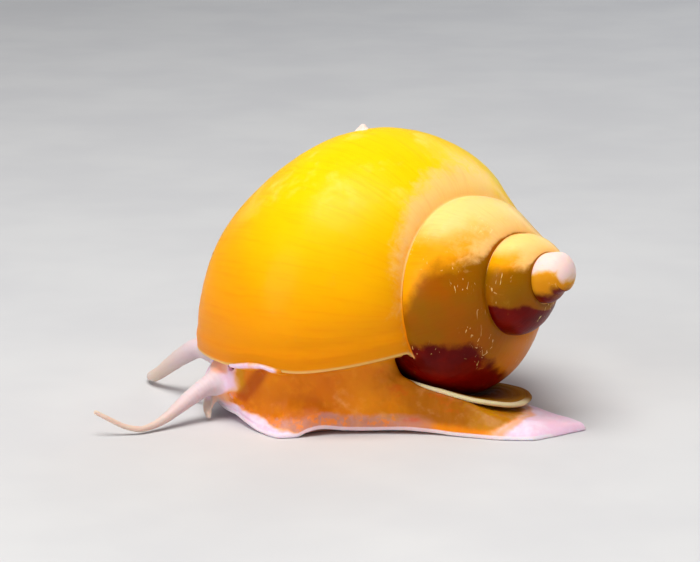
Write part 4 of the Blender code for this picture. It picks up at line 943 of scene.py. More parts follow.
def plan_distance(poly, X, Y):
    """Signed distance in plan to a closed outline; negative inside."""
    P = np.asarray(poly, float)[:, :2]
    Q = np.roll(P, -1, axis=0)
    best = np.full(X.shape, 1e9)
    inside = np.zeros(X.shape, bool)
    for (ax, ay), (bx, by) in zip(P, Q):
        ex, ey = bx - ax, by - ay
        L = ex * ex + ey * ey
        if L < 1e-12:
            continue
        t = np.clip(((X - ax) * ex + (Y - ay) * ey) / L, 0, 1)
        best = np.minimum(best, (X - ax - t * ex) ** 2 + (Y - ay - t * ey) ** 2)
        if ay != by:
            hit = ((ay > Y) != (by > Y)) & (X < ex * (Y - ay) / (by - ay) + ax)
            inside ^= hit
    d = np.sqrt(best)
    return np.where(inside, -d, d)


def foot_plan(u, w):
    x = -12.0 + 36.7 * u
    near, far = table(np.array([x]), MARGIN)[0]
    y = 0.5 * (near + far) + 0.5 * (far - near) * w
    if x < -4.0:
        x -= float(smooth((-4.0 - x) / 8.0)) * (1 - w * w) * (-12.0 - FRONT_X)
    return x, y


us, ws = np.linspace(0, 1, 180), np.linspace(-1, 1, 40)
OUTLINE = np.array([foot_plan(u, -1.0) for u in us] + [foot_plan(1.0, w) for w in ws[1:-1]]
                   + [foot_plan(u, 1.0) for u in us[::-1]] + [foot_plan(0.0, w) for w in ws[::-1][1:-1]])
PX, PY = np.meshgrid(XS, YS, indexing="ij")
D_PLAN = plan_distance(OUTLINE, PX, PY)
near_far = table(XS, MARGIN)
mid_y = near_far.mean(axis=1)[:, None]
half_y = (0.5 * (near_far[:, 1] - near_far[:, 0]))[:, None]
W_AC = np.clip((PY - mid_y) / half_y, -1, 1)
crest = table(XS, WALL)
CREST = crest[:, 0][:, None] * (0.5 - 0.5 * W_AC) + crest[:, 1][:, None] * (0.5 + 0.5 * W_AC)
RIM_H = (0.50 + 0.50 * smooth((-7.0 - PX) / 5.0)) * (1 - 0.62 * ramp(PX, 19.0, 24.8))
slope = table(PX, [(-14.0, 1.4), (-11.0, 2.6), (-7.5, 3.2), (-4.5, 2.1), (-1.0, 1.3), (3.0, 1.1), (9.0, 1.2),
                    (14.0, 1.9), (20.0, 2.0), (24.7, 1.2)])[..., 0]
rise = np.clip(-D_PLAN / np.maximum(0.45, slope * np.minimum(1.0, half_y / 4.0)), 0.0, 1.0)
H_TOP = RIM_H + np.maximum(CREST - RIM_H, 0.0) * (0.35 * smooth(rise) + 0.65 * (1 - (1 - rise) ** 1.6))

shell_tree = BVHTree.FromPolygons([tuple(v.co / MM) for v in NODES["shell"].data.vertices],
                                  [tuple(p.vertices) for p in NODES["shell"].data.polygons])


def under_shell(x, y, clearance):
    best = 99.0
    for dx, dy in ((0, 0), (0.5, 0), (-0.5, 0), (0, 0.5), (0, -0.5)):
        hit = shell_tree.ray_cast(Vector((x + dx - CENTRE[0], y + dy - CENTRE[1], 0.0)), Vector((0, 0, 1)))
        if hit[0] is not None:
            best = min(best, hit[0].z)
    return best - clearance


def operc_height(x, y, cap=True):
    u = (x - OPERC_C[0]) / OPERC_R[0]
    v = (y - OPERC_C[1]) / OPERC_R[1]
    z = 2.55 + 0.15 * (u * u) + 1.25 * float(smooth((0.25 - u) / 1.3)) * 1.6 - 0.50 * v + 0.42 * v * v
    z += (0.95 - 1.5 * float(smooth((u + 0.3) / 1.3))) * float(smooth((0.35 - v) / 1.2))
    return min(z, under_shell(x, y, 0.37)) if cap else z


# ceiling of the flesh below the operculum and the shell, on a coarse plan grid
cx, cy = np.arange(-16.0, 26.0, 0.6), np.arange(-9.0, 14.0, 0.6)
CEIL = np.zeros((len(cx), len(cy)))
for i, x in enumerate(cx):
    for j, y in enumerate(cy):
        u, v = (x - OPERC_C[0]) / (OPERC_R[0] + 0.2), (y - OPERC_C[1]) / (OPERC_R[1] + 0.2)
        CEIL[i, j] = (operc_height(x, y) - OPERC_T + 0.12 if u * u + v * v < 1.0 and x > 4.4
                      else min(9.0, under_shell(x, y, 0.12)))


def bilinear(grid, gx, gy, X, Y):
    fx = np.clip((X - gx[0]) / (gx[1] - gx[0]), 0, len(gx) - 1.001)
    fy = np.clip((Y - gy[0]) / (gy[1] - gy[0]), 0, len(gy) - 1.001)
    i, j = fx.astype(int), fy.astype(int)
    a, b = fx - i, fy - j
    return ((grid[i, j] * (1 - a) + grid[i + 1, j] * a) * (1 - b)
            + (grid[i, j + 1] * (1 - a) + grid[i + 1, j + 1] * a) * b)


CEIL2 = bilinear(CEIL, cx, cy, PX, PY)
H_TOP = np.where(PX > -6.0, np.minimum(H_TOP, CEIL2), H_TOP)
for _ in range(max(1, int(round(0.35 / STEP)))):
    H_TOP[1:-1] = 0.25 * H_TOP[:-2] + 0.5 * H_TOP[1:-1] + 0.25 * H_TOP[2:]
    H_TOP[:, 1:-1] = 0.25 * H_TOP[:, :-2] + 0.5 * H_TOP[:, 1:-1] + 0.25 * H_TOP[:, 2:]

x, y, z = local((slice(0, DIM[0]), slice(0, DIM[1]), slice(0, DIM[2])))
FIELD = smax((z - H_TOP[:, :, None]) * 0.85, D_PLAN[:, :, None] + 0.02, 0.75).astype(np.float32)

# the stalk, by slices between the outline on the foot and the aperture
def around(outline, centre, count):
    P = np.array(outline, float)
    Q = np.roll(P, -1, axis=0)
    out = []
    for k in range(count):
        a = 2 * math.pi * k / count
        d = np.array([math.cos(a), math.sin(a)])
        best = None
        for p, q in zip(P, Q):
            e = q[:2] - p[:2]
            det = d[0] * -e[1] + d[1] * e[0]
            if abs(det) < 1e-12:
                continue
            w = p[:2] - np.array(centre)
            t = (w[0] * -e[1] + w[1] * e[0]) / det
            m = (d[0] * w[1] - d[1] * w[0]) / det
            if t > 0 and 0 <= m <= 1 and (best is None or t > best[0]):
                best = (t, p[2] + (q[2] - p[2]) * m)
        out.append((centre[0] + d[0] * best[0], centre[1] + d[1] * best[0], best[1]))
    return np.array(out)


def middle_of(P):
    Q = np.roll(P, -1, axis=0)
    w = P[:, 0] * Q[:, 1] - Q[:, 0] * P[:, 1]
    return ((P + Q)[:, :2] * w[:, None]).sum(axis=0) / (3.0 * w.sum())


def drawn_in(P, inset):
    d = P.mean(axis=0) - P
    return P + d * np.minimum(0.92, inset / np.linalg.norm(d, axis=1))[:, None]


SIDES = 72
ring = drawn_in(APERTURE, 1.35)
mid = middle_of(ring)
top = around(ring, mid, SIDES)
c3 = np.array([*mid, top[:, 2].mean()])
for k in range(SIDES):
    if top[k, 0] < STALK_FRONT:
        top[k] = c3 + (top[k] - c3) * ((STALK_FRONT - c3[0]) / (top[k, 0] - c3[0]))
ang = 2 * math.pi * np.arange(SIDES) / SIDES
mm = (np.abs(np.cos(ang)) ** 2.6 + np.abs(np.sin(ang)) ** 2.6) ** (-1 / 2.6)
corner = (2 * np.maximum(0.0, np.cos(ang)) * np.maximum(0.0, -np.sin(ang))) ** 2
lowr = np.stack([STALK_C[0] + STALK_R[0] * np.cos(ang) * mm * (1 + 0.57 * corner),
                 STALK_C[1] + STALK_R[1] * np.sin(ang) * mm * (1 + 0.25 * corner)], 1)
# the near wall reaches out over the margin of the foot
lowr[:, 1] = np.where(lowr[:, 1] < STALK_C[1], STALK_C[1] + (lowr[:, 1] - STALK_C[1]) * 1.05, lowr[:, 1])
low_z = bilinear(H_TOP, XS, YS, lowr[:, 0], lowr[:, 1]) - 0.3
sl = window((-13.0, -8.8, -0.6), (8.8, 13.8, 12.8))
x, y, z = local(sl)
sub = np.full((x.shape[0], y.shape[1], z.shape[2]), 9.0, np.float32)
X2, Y2 = np.meshgrid(XS[sl[0]], YS[sl[1]], indexing="ij")
A = np.c_[APERTURE[:, :2], np.ones(len(APERTURE))]
plane = np.linalg.lstsq(A, APERTURE[:, 2], rcond=None)[0]
for k, zz in enumerate(ZS[sl[2]]):
    f = np.clip((zz - low_z) / np.maximum(top[:, 2] + 0.5 - low_z, 0.5), 0, 1)
    f = f[:, None]
    poly = lowr * (1 - f) + top[:, :2] * f
    cc = poly.mean(axis=0)
    poly = cc + (poly - cc) * (1 - 0.035 * np.sin(math.pi * f))
    sub[:, :, k] = plan_distance(poly, X2, Y2)
cap = z - (plane[0] * x + plane[1] * y + plane[2] + 2.2)
sub = smax(smax(sub, cap, 0.6), (1.3 - z) * 1.0, 0.6)
# under the shell's belly the flesh ends short of the shell
ceil3 = bilinear(CEIL, cx, cy, X2, Y2)[:, :, None]
inside_ap = plan_distance(drawn_in(APERTURE, 0.9), X2, Y2)[:, :, None]
limit = np.where(inside_ap < 0, 9.0, z - ceil3)
sub = np.where(inside_ap < 0, sub, smax(sub, np.where(ceil3 > 8.5, -9.0, z - ceil3), 0.5))
FIELD[sl] = smin(FIELD[sl], sub, 1.5)
D_STALK = None


def add(rows, count, k, reach=1.8):
    sl, F = limb_field(rows, count, reach)
    FIELD[sl] = smin(FIELD[sl], F, k)
    return sl, F


add(HEAD_ROWS, 26, 1.8, 2.6)
for rows in THROAT:
    add(rows, 14, 1.6, 2.4)
for side in ("left", "right"):
    add(EYE_STALKS[side], 8, 0.8)
    add(TENTACLES[side], 70, 0.9, 1.4)
    add([(r[0], r[1], r[2], r[3] + 0.22 * (1 - i / 4), r[4] + 0.20 * (1 - i / 4)) for i, r in enumerate(PALPS[side])], 16, 0.7, 1.4)
for rows in MUSCLE:
    sl, F = limb_field(rows, 12, 1.6)
    x, y, z = local(sl)
    Xw, Yw = np.meshgrid(XS[sl[0]], YS[sl[1]], indexing="ij")
    lid = bilinear(CEIL, cx, cy, Xw, Yw)[:, :, None]
    F = smax(F, z - lid, 0.3)
    FIELD[sl] = smin(FIELD[sl], F, 0.6)
sl, F = add(SIPHON_ROWS, 16, 0.9)
# the bore of the siphon
sl, F = limb_field([(-11.8, 9.4, 6.8, 0.62, 0.40), (-13.4, 10.6, 6.2, 0.72, 0.46), (-15.2, 12.0, 5.1, 0.80, 0.52)], 10, 1.2)
FIELD[sl] = smax(FIELD[sl], -F, 0.35)
# the mouth, a short upright slit under the snout
sl, F = limb_field([(-15.55, 2.85, 2.0, 0.22, 0.22), (-15.45, 2.85, 1.3, 0.30, 0.30), (-15.1, 2.85, 0.75, 0.24, 0.24)], 6, 1.0)
FIELD[sl] = smax(FIELD[sl], -F, 0.25)
# mantle edge: a soft collar just inside the lip
col_line = turn_back(drawn_in(APERTURE, 0.95), 0.02)
n_out = len(LIP)
rows = []
for i in range(2, n_out - 2, 3):
    r = 0.62 - 0.36 * float(ramp(-col_line[i, 0], 10.6, 12.2)) * float(1.0 - ramp(col_line[i, 1], 2.0, 5.0))
    rows.append((*col_line[i], r, r))
sl, F = limb_field(rows, len(rows) * 2, 1.0)
FIELD[sl] = smin(FIELD[sl], F, 1.4)
# a thin fold of the mantle, turned out over the lip above the neck
kx = int(LIP[:, 0].argmin())
near_lip = LIP[:kx + 1][::-1]
AP_MID = APERTURE.mean(axis=0)
fold, bridge = [], []
for k, fx in enumerate(np.linspace(-12.6, -7.3, 15)):
    p = np.array([np.interp(fx, near_lip[:, 0], near_lip[:, c]) for c in range(3)])
    w = math.exp(-(np.linalg.norm(p - ARCH) / 3.0) ** 2)
    p = p + np.array([0.0, -0.05, 0.80]) * w
    n = (AP_MID - p) / np.linalg.norm(AP_MID - p)
    t = math.sin(math.pi * (k + 0.6) / 15.2)
    fold.append((*(p + n * (0.16 - 0.10 * t) + np.array([0.0, -0.02, -0.10])), 0.12 + 0.08 * t, 0.12 + 0.04 * t))
    b = 0.45 + 0.55 * min(1.0, k / 4.0)
    bridge.append((*(p + n * 0.55 + np.array([0.0, 0.0, -0.12])), 0.36 * b, 0.30 * b))
for rows, k in ((bridge, 0.8), (fold, 0.45)):
    sl, F = limb_field(rows, len(rows) * 3, 1.2)
    FIELD[sl] = smin(FIELD[sl], F, k)
# the sockets of the eyes
for side in ("left", "right"):
    e = np.array(EYE_AT[side])
    sl = window(e - 2.0, e + 2.0)
    x, y, z = local(sl)
    ball = np.sqrt((x - e[0]) ** 2 + (y - e[1]) ** 2 + (z - e[2]) ** 2) - EYE_R
    FIELD[sl] = smin(FIELD[sl], ball - 0.13, 0.30)
    out = np.array([-0.62, -0.76 if side == "left" else 0.76, 0.18])
    p = e + out * 0.50
    cap = np.sqrt((x - p[0]) ** 2 + (y - p[1]) ** 2 + (z - p[2]) ** 2) - 0.50
    q = e + out * 1.15
    cap = np.minimum(cap, np.sqrt((x - q[0]) ** 2 + (y - q[1]) ** 2 + (z - q[2]) ** 2) - 0.70)
    FIELD[sl] = smax(FIELD[sl], -cap, 0.12)
# flat sole on the floor
z = ZS[None, None, :]
FIELD = smax(FIELD, (0.03 - z).astype(np.float32), 0.12)


def surface_nets(D):
    """Quads on the zero level of a grid of distances."""
    S = D < 0
    cells = (slice(None, -1), slice(1, None))
    cnt = np.zeros(tuple(n - 1 for n in D.shape), np.uint8)
    for a in cells:
        for b in cells:
            for c in cells:
                cnt += S[a, b, c]
    act = (cnt > 0) & (cnt < 8)
    I = np.argwhere(act)
    ids = np.full(act.shape, -1, np.int64)
    ids[act] = np.arange(len(I))
    pos, num = np.zeros((len(I), 3)), np.zeros(len(I))
    corners = [(a, b, c) for a in (0, 1) for b in (0, 1) for c in (0, 1)]
    val = {k: D[I[:, 0] + k[0], I[:, 1] + k[1], I[:, 2] + k[2]].astype(float) for k in corners}
    for k in corners:
        for ax in range(3):
            if k[ax] == 0:
                m = list(k)
                m[ax] = 1
                m = tuple(m)
                a, b = val[k], val[m]
                cross = (a < 0) != (b < 0)
                t = np.where(cross, a / np.where(cross, a - b, 1.0), 0.0)
                p = np.array(k, float)[None, :] + np.eye(3)[ax][None, :] * t[:, None]
                pos += np.where(cross[:, None], p, 0.0)
                num += cross
    P = LO + (I + pos / num[:, None]) * STEP
    quads = []
    for ax in range(3):
        lo_s, hi_s = [slice(None)] * 3, [slice(None)] * 3
        lo_s[ax], hi_s[ax] = slice(None, -1), slice(1, None)
        a, b = S[tuple(lo_s)], S[tuple(hi_s)]
        E = np.argwhere(a != b)
        flip = a[E[:, 0], E[:, 1], E[:, 2]]
        u, v = (ax + 1) % 3, (ax + 2) % 3
        ok = (E[:, u] > 0) & (E[:, v] > 0) & (E[:, u] < D.shape[u] - 1) & (E[:, v] < D.shape[v] - 1)
        E, flip = E[ok], flip[ok]
        q = []
        for du, dv in ((-1, -1), (0, -1), (0, 0), (-1, 0)):
            c = E.copy()
            c[:, u] += du
            c[:, v] += dv
            q.append(ids[c[:, 0], c[:, 1], c[:, 2]])
        q = np.stack(q, -1)
        q[~flip] = q[~flip][:, ::-1]
        quads.append(q)
    return P, np.concatenate(quads)


def largest_piece(P, Q):
    """Keep the quads connected to the biggest body."""
    lab = np.arange(len(P))
    while True:
        m = lab[Q].min(axis=1)
        new = lab.copy()
        for k in range(4):
            np.minimum.at(new, Q[:, k], m)
        new = new[new]
        if (new == lab).all():
            break
        lab = new
    names, counts = np.unique(lab, return_counts=True)
    keep = lab == names[counts.argmax()]
    idx = np.cumsum(keep) - 1
    Q = Q[keep[Q[:, 0]]]
    return P[keep], idx[Q]


def relax(P, Q, rounds, amount=0.5, hold=None):
    e = np.concatenate([Q[:, [0, 1]], Q[:, [1, 2]], Q[:, [2, 3]], Q[:, [3, 0]]])
    for _ in range(rounds):
        s, c = np.zeros_like(P), np.zeros(len(P))
        np.add.at(s, e[:, 0], P[e[:, 1]])
        np.add.at(s, e[:, 1], P[e[:, 0]])
        np.add.at(c, e[:, 0], 1)
        np.add.at(c, e[:, 1], 1)
        new = P + (s / c[:, None] - P) * amount
        P = new if hold is None else np.where(hold[:, None], P, new)
    return P


SP, SQ = surface_nets(FIELD)
SP, SQ = largest_piece(SP, SQ)
SP = relax(SP, SQ, 2, 0.5)
SP = relax(SP, SQ, 1, -0.35)
SP[:, 2] = np.maximum(SP[:, 2], 0.01)
SN = point_normals(SP, [SQ])
if (SN[:, 2] * (SP[:, 2] > 6)).sum() < 0:
    SQ = SQ[:, ::-1]
    SN = -SN

# masks over the skin
X, Y, Z = SP.T
dpl = bilinear(D_PLAN, XS, YS, X, Y)
near_side = 1.0 - ramp(Y, 0.0, 3.0)
head_w = ramp(-X, 10.6, 12.4) * ramp(Z, 0.9, 2.0)
tent = np.zeros(len(SP))
arc_t = np.zeros(len(SP))
for side in ("left", "right"):
    C = curve_points(TENTACLES[side], 120)[:, :3]
    s = np.concatenate([[0], np.cumsum(np.linalg.norm(np.diff(C, axis=0), axis=1))])
    sel = np.where((X < -12.0))[0]
    best = np.full(len(sel), 9.0)
    arc = np.zeros(len(sel))
    for i in range(len(C)):
        d = np.linalg.norm(SP[sel] - C[i], axis=1)
        m = d < best
        best[m], arc[m] = d[m], s[i]
    w = ramp(1.9 - best, 0.0, 0.7) * ramp(arc, 0.6, 2.2)
    m = w > tent[sel]
    tent[sel[m]] = w[m]
    arc_t[sel[m]] = arc[m]
foot_w = ramp(2.2 - Z, 0.0, 1.0) * ramp(X, -14.5, -12.0)
# displacement: folds, grain, rings of the tentacles, groove of the front edge
wall = (1 - tent) * ramp(Z, 0.5, 1.4)
folds = fractal(np.stack([X * 0.9, Y * 0.9, Z * 0.35], 1), 3)
grain = fractal(SP * 2.6, 2)
d = 0.07 * folds * wall + 0.030 * grain * wall * (1 - 0.5 * head_w)
d += tent * (0.026 * np.sin(arc_t * 2 * math.pi / 0.42) * ramp(9.0 - arc_t, 0.0, 8.0) + 0.02 * grain)
gx, gz = np.array([-9.0, 6.6]), np.array([-11.3, 3.0])
gt = np.clip(((X - gx[0]) * (gz[0] - gx[0]) + (Z - gx[1]) * (gz[1] - gx[1])) / ((gz - gx) @ (gz - gx)), 0.0, 1.0)
gd = np.hypot(X - gx[0] - gt * (gz[0] - gx[0]), Z - gx[1] - gt * (gz[1] - gx[1]))
d -= 0.26 * np.exp(-(gd / 0.55) ** 2) * (Y < 2.0) * (1 - tent)
front = ramp(-X, 5.0, 8.0) * ramp(0.75 - np.abs(dpl + 0.2), 0.0, 0.4) * (1 - tent) * (Z < 1.6)
d -= 0.10 * front * np.exp(-((Z - 0.62) / 0.13) ** 2)
edge_w = ramp(0.55 - np.abs(dpl), 0.0, 0.35) * (Z < 1.2) * (Z > 0.1)
d += 0.05 * edge_w * noise3(np.stack([X * 1.1, Y * 1.1, Z * 0.0 + 5.0], 1))
d *= ramp(Z, 0.03, 0.25)
SP = SP + SN * d[:, None]
lift_near = table(X, [(-14.0, 0.80), (-12.2, 0.80), (-10.8, 0.42), (-9.0, 0.05), (-7.7, 0.0), (-5.6, 0.02), (-4.3, 0.50),
                      (-3.1, 0.68), (-0.7, 0.42), (1.9, 0.34), (5.3, 0.40), (8.3, 0.22), (10.5, 0.06), (13.5, 0.0), (25.0, 0.0)])[..., 0]
lift_far = table(X, [(-14.0, 0.80), (-12.2, 0.60), (-9.8, 0.10), (-7.0, 0.35), (-3.5, 0.05), (0.5, 0.30), (4.5, 0.04),
                     (8.0, 0.18), (12.0, 0.0), (25.0, 0.0)])[..., 0]
side_w = ramp(Y, 0.0, 5.0)
lift_w = ramp(dpl, -1.9, -0.35) * (1.0 - ramp(Z, 1.6, 3.6)) * (1 - tent) * (X > -14.6)
SP[:, 2] = np.maximum(SP[:, 2], 0.01) + (lift_near * (1 - side_w) + lift_far * side_w) * lift_w

# colour masks
drift = 1.1 * fractal(SP * 0.55, 3)
band_w = 1.5 - 0.75 * ramp(X, -9.5, -7.0) - 0.35 * ramp(X, -6.5, -4.5)
front_band = ramp(-X + 0.4 * drift, 3.0, 6.6) * ramp((band_w - Z) + 0.35 * drift, -0.2, 0.45) * (1 - ramp(-dpl, 1.6, 3.0))
tail = ramp(X - 15.3 - 2.3 * ramp(Y, -7.6, -2.5) - 1.7 * ramp(Z, 0.5, 2.2) + 0.45 * drift, -1.5, 1.5)
edge_x = 11.9 + 1.5 * (1.0 - ramp(Z, 2.4, 4.4)) * (1.0 - ramp(Y, 0.5, 3.0))
face = ramp(-X - edge_x + 0.7 * drift, -0.9, 0.9) * ramp(Z, 0.8, 2.2)
pale = np.maximum.reduce([front_band, tail, tent, face, ramp(-X, 12.6, 13.6) * ramp(Z, 0.7, 1.4)])
fold_w = np.zeros(len(SP))
sel = np.where((X < -5.0) & (Y < 1.0) & (Z > 5.2))[0]
fold_d = near_line(SP[sel], np.array([f[:3] for f in fold]), 1.2)
fold_w[sel] = 1.4 * ramp(0.42 - fold_d, 0.0, 0.3) * ramp(-SP[sel, 0], 7.2, 8.2)
pale = np.maximum(pale, fold_w)
rim = ramp(0.55 - np.abs(dpl), 0.05, 0.35) * ramp(0.62 - Z, 0.0, 0.28) * ramp(22.0 - X, 0.0, 2.0)
pink = ramp(2.6 - Z, 0.0, 1.9) * (1 - tail) * 0.9 * (1 - ramp(X, 3.5, 8.5))
pink = np.maximum(pink, 0.9 * ramp(-X, 11.4, 12.6) * ramp(4.2 - Z, 0, 1.2))
olive = ramp(X, -2.0, 9.0) * ramp(Z, 0.3, 1.6) * (1 - tail) * 0.75
neck = np.exp(-((X + 11.5 + 0.2 * (Z - 4.5) + 0.35 * drift) / 0.75) ** 2) * ramp(Z, 2.6, 4.4)
# painted shade along the neck crease
crease_shade = np.exp(-(gd / 0.8) ** 2) * (Y < 2.0)
grey = ramp(-X + 0.4 * drift, 13.0, 14.4) * ramp(4.1 - Z + 0.7 * drift, 0.0, 2.6) * (1 - tent)
tipl = tent * ramp(arc_t, 4.0, 13.0)
# painted shade low on the foot's side, towards the margin
margin_shade = (ramp(2.5 - Z, 0.0, 1.6) * ramp(X, -10.2, -8.0) * (1 - ramp(X, 6.0, 11.0)) * (1 - tail)
         * ramp(2.4 + dpl, 0.0, 1.2))
# peach blush below the snout, brightened to lift the tentacle's shadow, and the peach band of the tail
blush_with_painted_light = np.exp(-((X + 13.1) ** 2 + (Y + 0.5) ** 2 + (Z - 2.4) ** 2) / 1.55 ** 2) * (1 - tent)
blush_with_painted_light = np.maximum(blush_with_painted_light, 0.62 * np.exp(-((tail - 0.66) / 0.30) ** 2) * ramp(X, 12.0, 14.0) * (1 - ramp(Z, 1.6, 3.2)))
rear_w = ramp(X, 10.0, 14.5) * (1 - tail) * ramp(Z, 0.4, 1.3)
peach = ramp(Z, 4.9, 5.7) * ramp(-X, 12.4, 13.2) * (1 - ramp(-X, 15.2, 16.4)) * (1 - ramp(Y, 3.0, 6.0))
skin = mesh_piece("skin", SP, SQ, skin_material(), 
                  {"pale": pale, "olive": olive, "rim": rim, "pink": pink, "grey": grey, "tip": tipl,
                   "neck": neck, "fold": crease_shade, "margin_shade": margin_shade, "blush_with_painted_light": blush_with_painted_light, "peach": peach, "tent": tent, "rear": rear_w})
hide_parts("foot_front", "foot_middle", "foot_tail", "body_stalk", "mantle", "neck", "head", "snout",
            "tentacle_left_base", "tentacle_left_middle", "tentacle_left_tip",
            "tentacle_right_base", "tentacle_right_middle", "tentacle_right_tip",
            "eye_stalk_left", "eye_stalk_right", "labial_palp_left", "labial_palp_right", "siphon")


# ---------------------------------------------------------------- operculum
def build_operculum(sides, rings):
    f = np.concatenate([np.linspace(0.0, 0.9, rings)[1:], [0.93, 0.96, 0.98, 1.0]])
    a = 2 * math.pi * np.arange(sides) / sides
    PTS = []
    for q in f:
        x = OPERC_C[0] + OPERC_R[0] * q * np.cos(a)
        y = OPERC_C[1] + OPERC_R[1] * q * np.sin(a) * (1 + 0.10 * np.cos(a))
        z = np.array([operc_height(p, r) for p, r in zip(x, y)])
        PTS.append(np.stack([x, y, z], 1))
    T = np.array(PTS)
    ctr = np.array([OPERC_C[0], OPERC_C[1], operc_height(*OPERC_C)])
    for _ in range(14):                       # even out the height where it follows the shell
        Zt = T[:, :, 2]
        avg = (np.roll(Zt, 1, axis=1) + np.roll(Zt, -1, axis=1)) / 2
        inn = np.vstack([np.full((1, sides), ctr[2]), Zt[:-1]])
        outr = np.vstack([Zt[1:], Zt[-1:]])
        T[:, :, 2] = np.minimum(Zt, 0.5 * Zt + 0.25 * avg + 0.125 * (inn + outr))
    rr = f[:, None] + 0 * a[None, :]
    ripple = 0.018 * np.sin(f * 2 * math.pi * 8.5)[:, None] * ramp(f, 0.15, 0.4)[:, None]
    warp = 0.05 * fractal(T.reshape(-1, 3) * 0.30, 2).reshape(rr.shape)
    T[:, :, 2] += ripple + warp
    thick = OPERC_T * (1 - 0.12 * ramp(f, 0.5, 1.0)) * np.array([1.0] * (len(f) - 3) + [0.93, 0.74, 0.0])
    thick = thick[:, None] + 0 * a[None, :]
    Bm = T.copy()
    drop = 0.5 * (OPERC_T - thick)
    Bm[:, :, 2] = T[:, :, 2] - drop - thick
    T[:, :, 2] = T[:, :, 2] - drop * ramp(f, 0.9, 0.95)[:, None]
    V = [ctr[None]] + [r for r in T] + [r for r in Bm[:-1][::-1]] + [(ctr - [0, 0, OPERC_T])[None]]
    V = np.concatenate(V)
    nr = len(f) * 2 - 1
    idx = 1 + np.arange(nr * sides).reshape(nr, sides)
    quads = np.stack([idx[:-1], np.roll(idx, -1, axis=1)[:-1], np.roll(idx, -1, axis=1)[1:], idx[1:]], -1).reshape(-1, 4)
    tris = np.concatenate([np.stack([np.full(sides, 0), np.roll(idx[0], -1), idx[0]], -1),
                           np.stack([np.full(sides, len(V) - 1), idx[-1], np.roll(idx[-1], -1)], -1)])
    rad = np.concatenate([[0], np.repeat(f, sides), np.repeat(f[:-1][::-1], sides), [0]])
    rim = ramp(rad, 0.900, 0.945)
    return V, [quads[:, ::-1], tris[:, ::-1]], rad, rim


OV, OG, ORAD, ORIM = build_operculum(140, 46)
ON = point_normals(OV, OG)
if ON[0, 2] < 0:
    OG = [g[:, ::-1] for g in OG]
    ON = -ON
# the 'near' layer places the painted highlight on the near rim of the operculum
operc = mesh_piece("operculum_disc", OV, OG, horn_material(), {"rad": ORAD, "rim": ORIM, "near": ramp(1.6 - OV[:, 1] - 0.35 * np.maximum(OV[:, 0] - 14.0, 0.0), 0.0, 2.6)})
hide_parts("operculum")


# --------------------------------------------------------------------- eyes
def build_eye(side):
    c = np.array(EYE_AT[side])
    out = c - np.array(EYE_STALKS[side][-1][:3])
    out /= np.linalg.norm(out)
    nu, nv = 40, 28
    v = np.linspace(0, math.pi, nv)[1:-1]
    u = 2 * math.pi * np.arange(nu) / nu
    a = np.cross(out, [0, 0, 1])
    a /= np.linalg.norm(a)
    b = np.cross(out, a)
    bulge = 1.0 + 0.06 * np.exp(-(v / 0.6) ** 2)
    ring = [(out * math.cos(q) + (a * np.cos(u)[:, None] + b * np.sin(u)[:, None]) * math.sin(q)) * EYE_R * g
            for q, g in zip(v, bulge)]
    V = np.concatenate([[out * EYE_R * 1.06]] + ring + [[-out * EYE_R]]) + c
    idx = 1 + np.arange((nv - 2) * nu).reshape(nv - 2, nu)
    quads = np.stack([idx[:-1], idx[1:], np.roll(idx, -1, axis=1)[1:], np.roll(idx, -1, axis=1)[:-1]], -1).reshape(-1, 4)
    tris = np.concatenate([np.stack([np.full(nu, 0), idx[0], np.roll(idx[0], -1)], -1),
                           np.stack([np.full(nu, len(V) - 1), np.roll(idx[-1], -1), idx[-1]], -1)])
    o = (V - c) @ out / EYE_R
    return V, [quads, tris], o


EYE_MAT = eye_material()
for side in ("left", "right"):
    EV, EG, EO = build_eye(side)
    EN = point_normals(EV, EG)
    if (EN * (EV - np.array(EYE_AT[side]))).sum() < 0:
        EG = [g[:, ::-1] for g in EG]
    eye = mesh_piece("eyeball_" + side, EV, EG, EYE_MAT, {"out": EO})
    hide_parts("eye_" + side)


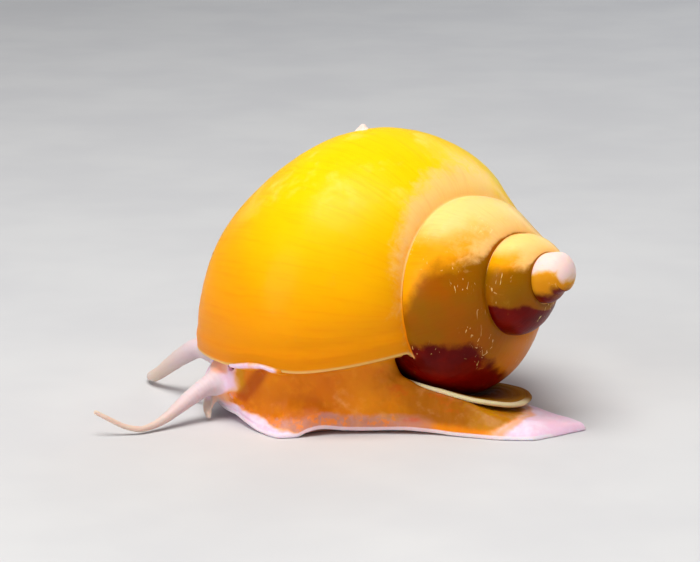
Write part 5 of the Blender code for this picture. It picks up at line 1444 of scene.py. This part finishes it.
# -------------------------------------------------- floor, light and camera
def quad_object(name, size, z, mat):
    me = bpy.data.meshes.new(name)
    s = size / 2
    me.from_pydata([(-s, -s, z), (s, -s, z), (s, s, z), (-s, s, z)], [], [(0, 1, 2, 3)])
    me.materials.append(mat)
    ob = bpy.data.objects.new(name, me)
    bpy.context.scene.collection.objects.link(ob)
    return ob


fm = Tree("floor_matt")
fm.put(fm.bsdf.inputs["Base Color"], fm.mix(fm.map(fm.noise(40.0, 3.0), 0.3, 0.7), srgb(206, 207, 210), srgb(212, 213, 215)))
fm.bsdf.inputs["Roughness"].default_value = 0.85
fm.bsdf.inputs["Specular IOR Level"].default_value = 0.1
floor = quad_object("floor", 6.0, 0.0, fm.mat)

world = bpy.data.worlds.new("studio")
bpy.context.scene.world = world
world.use_nodes = True
world.node_tree.nodes["Background"].inputs["Color"].default_value = (0.93, 0.94, 0.97, 1.0)
world.node_tree.nodes["Background"].inputs["Strength"].default_value = 0.25


def area(name, at, to, size, power, colour):
    L = bpy.data.lights.new(name, "AREA")
    L.shape = "DISK"
    L.size = size
    L.energy = power
    L.color = colour
    ob = bpy.data.objects.new(name, L)
    ob.location = at
    ob.rotation_euler = (Vector(to) - Vector(at)).to_track_quat("-Z", "Y").to_euler()
    bpy.context.scene.collection.objects.link(ob)
    return ob


area("key", (-0.05, -0.14, 0.42), (0.0, 0.0, 0.015), 0.30, 2.0, (1.0, 0.97, 0.92))
area("fill", (-0.35, -0.30, 0.16), (0.0, 0.0, 0.01), 0.30, 0.56, (0.96, 0.96, 1.0))
area("back", (0.25, 0.35, 0.22), (0.0, 0.0, 0.015), 0.25, 0.34, (0.92, 0.95, 1.0))

TARGET = Vector((-CENTRE[0] * MM, -CENTRE[1] * MM, 0.015))
EL = math.radians(13.0)
cam = bpy.data.cameras.new("view")
cam.sensor_width = 36.0
cam.lens = 36.0 * 2880.0 / 700.0
cam.clip_start = 0.01
cam_ob = bpy.data.objects.new("view", cam)
cam_ob.location = TARGET + Vector((0.0, -math.cos(EL), math.sin(EL))) * 0.300
cam_ob.rotation_euler = (math.radians(90.0) - EL, 0.0, 0.0)
bpy.context.scene.collection.objects.link(cam_ob)
bpy.context.scene.camera = cam_ob
bpy.context.scene.view_settings.view_transform = "Standard"
bpy.context.scene.view_settings.look = "None"
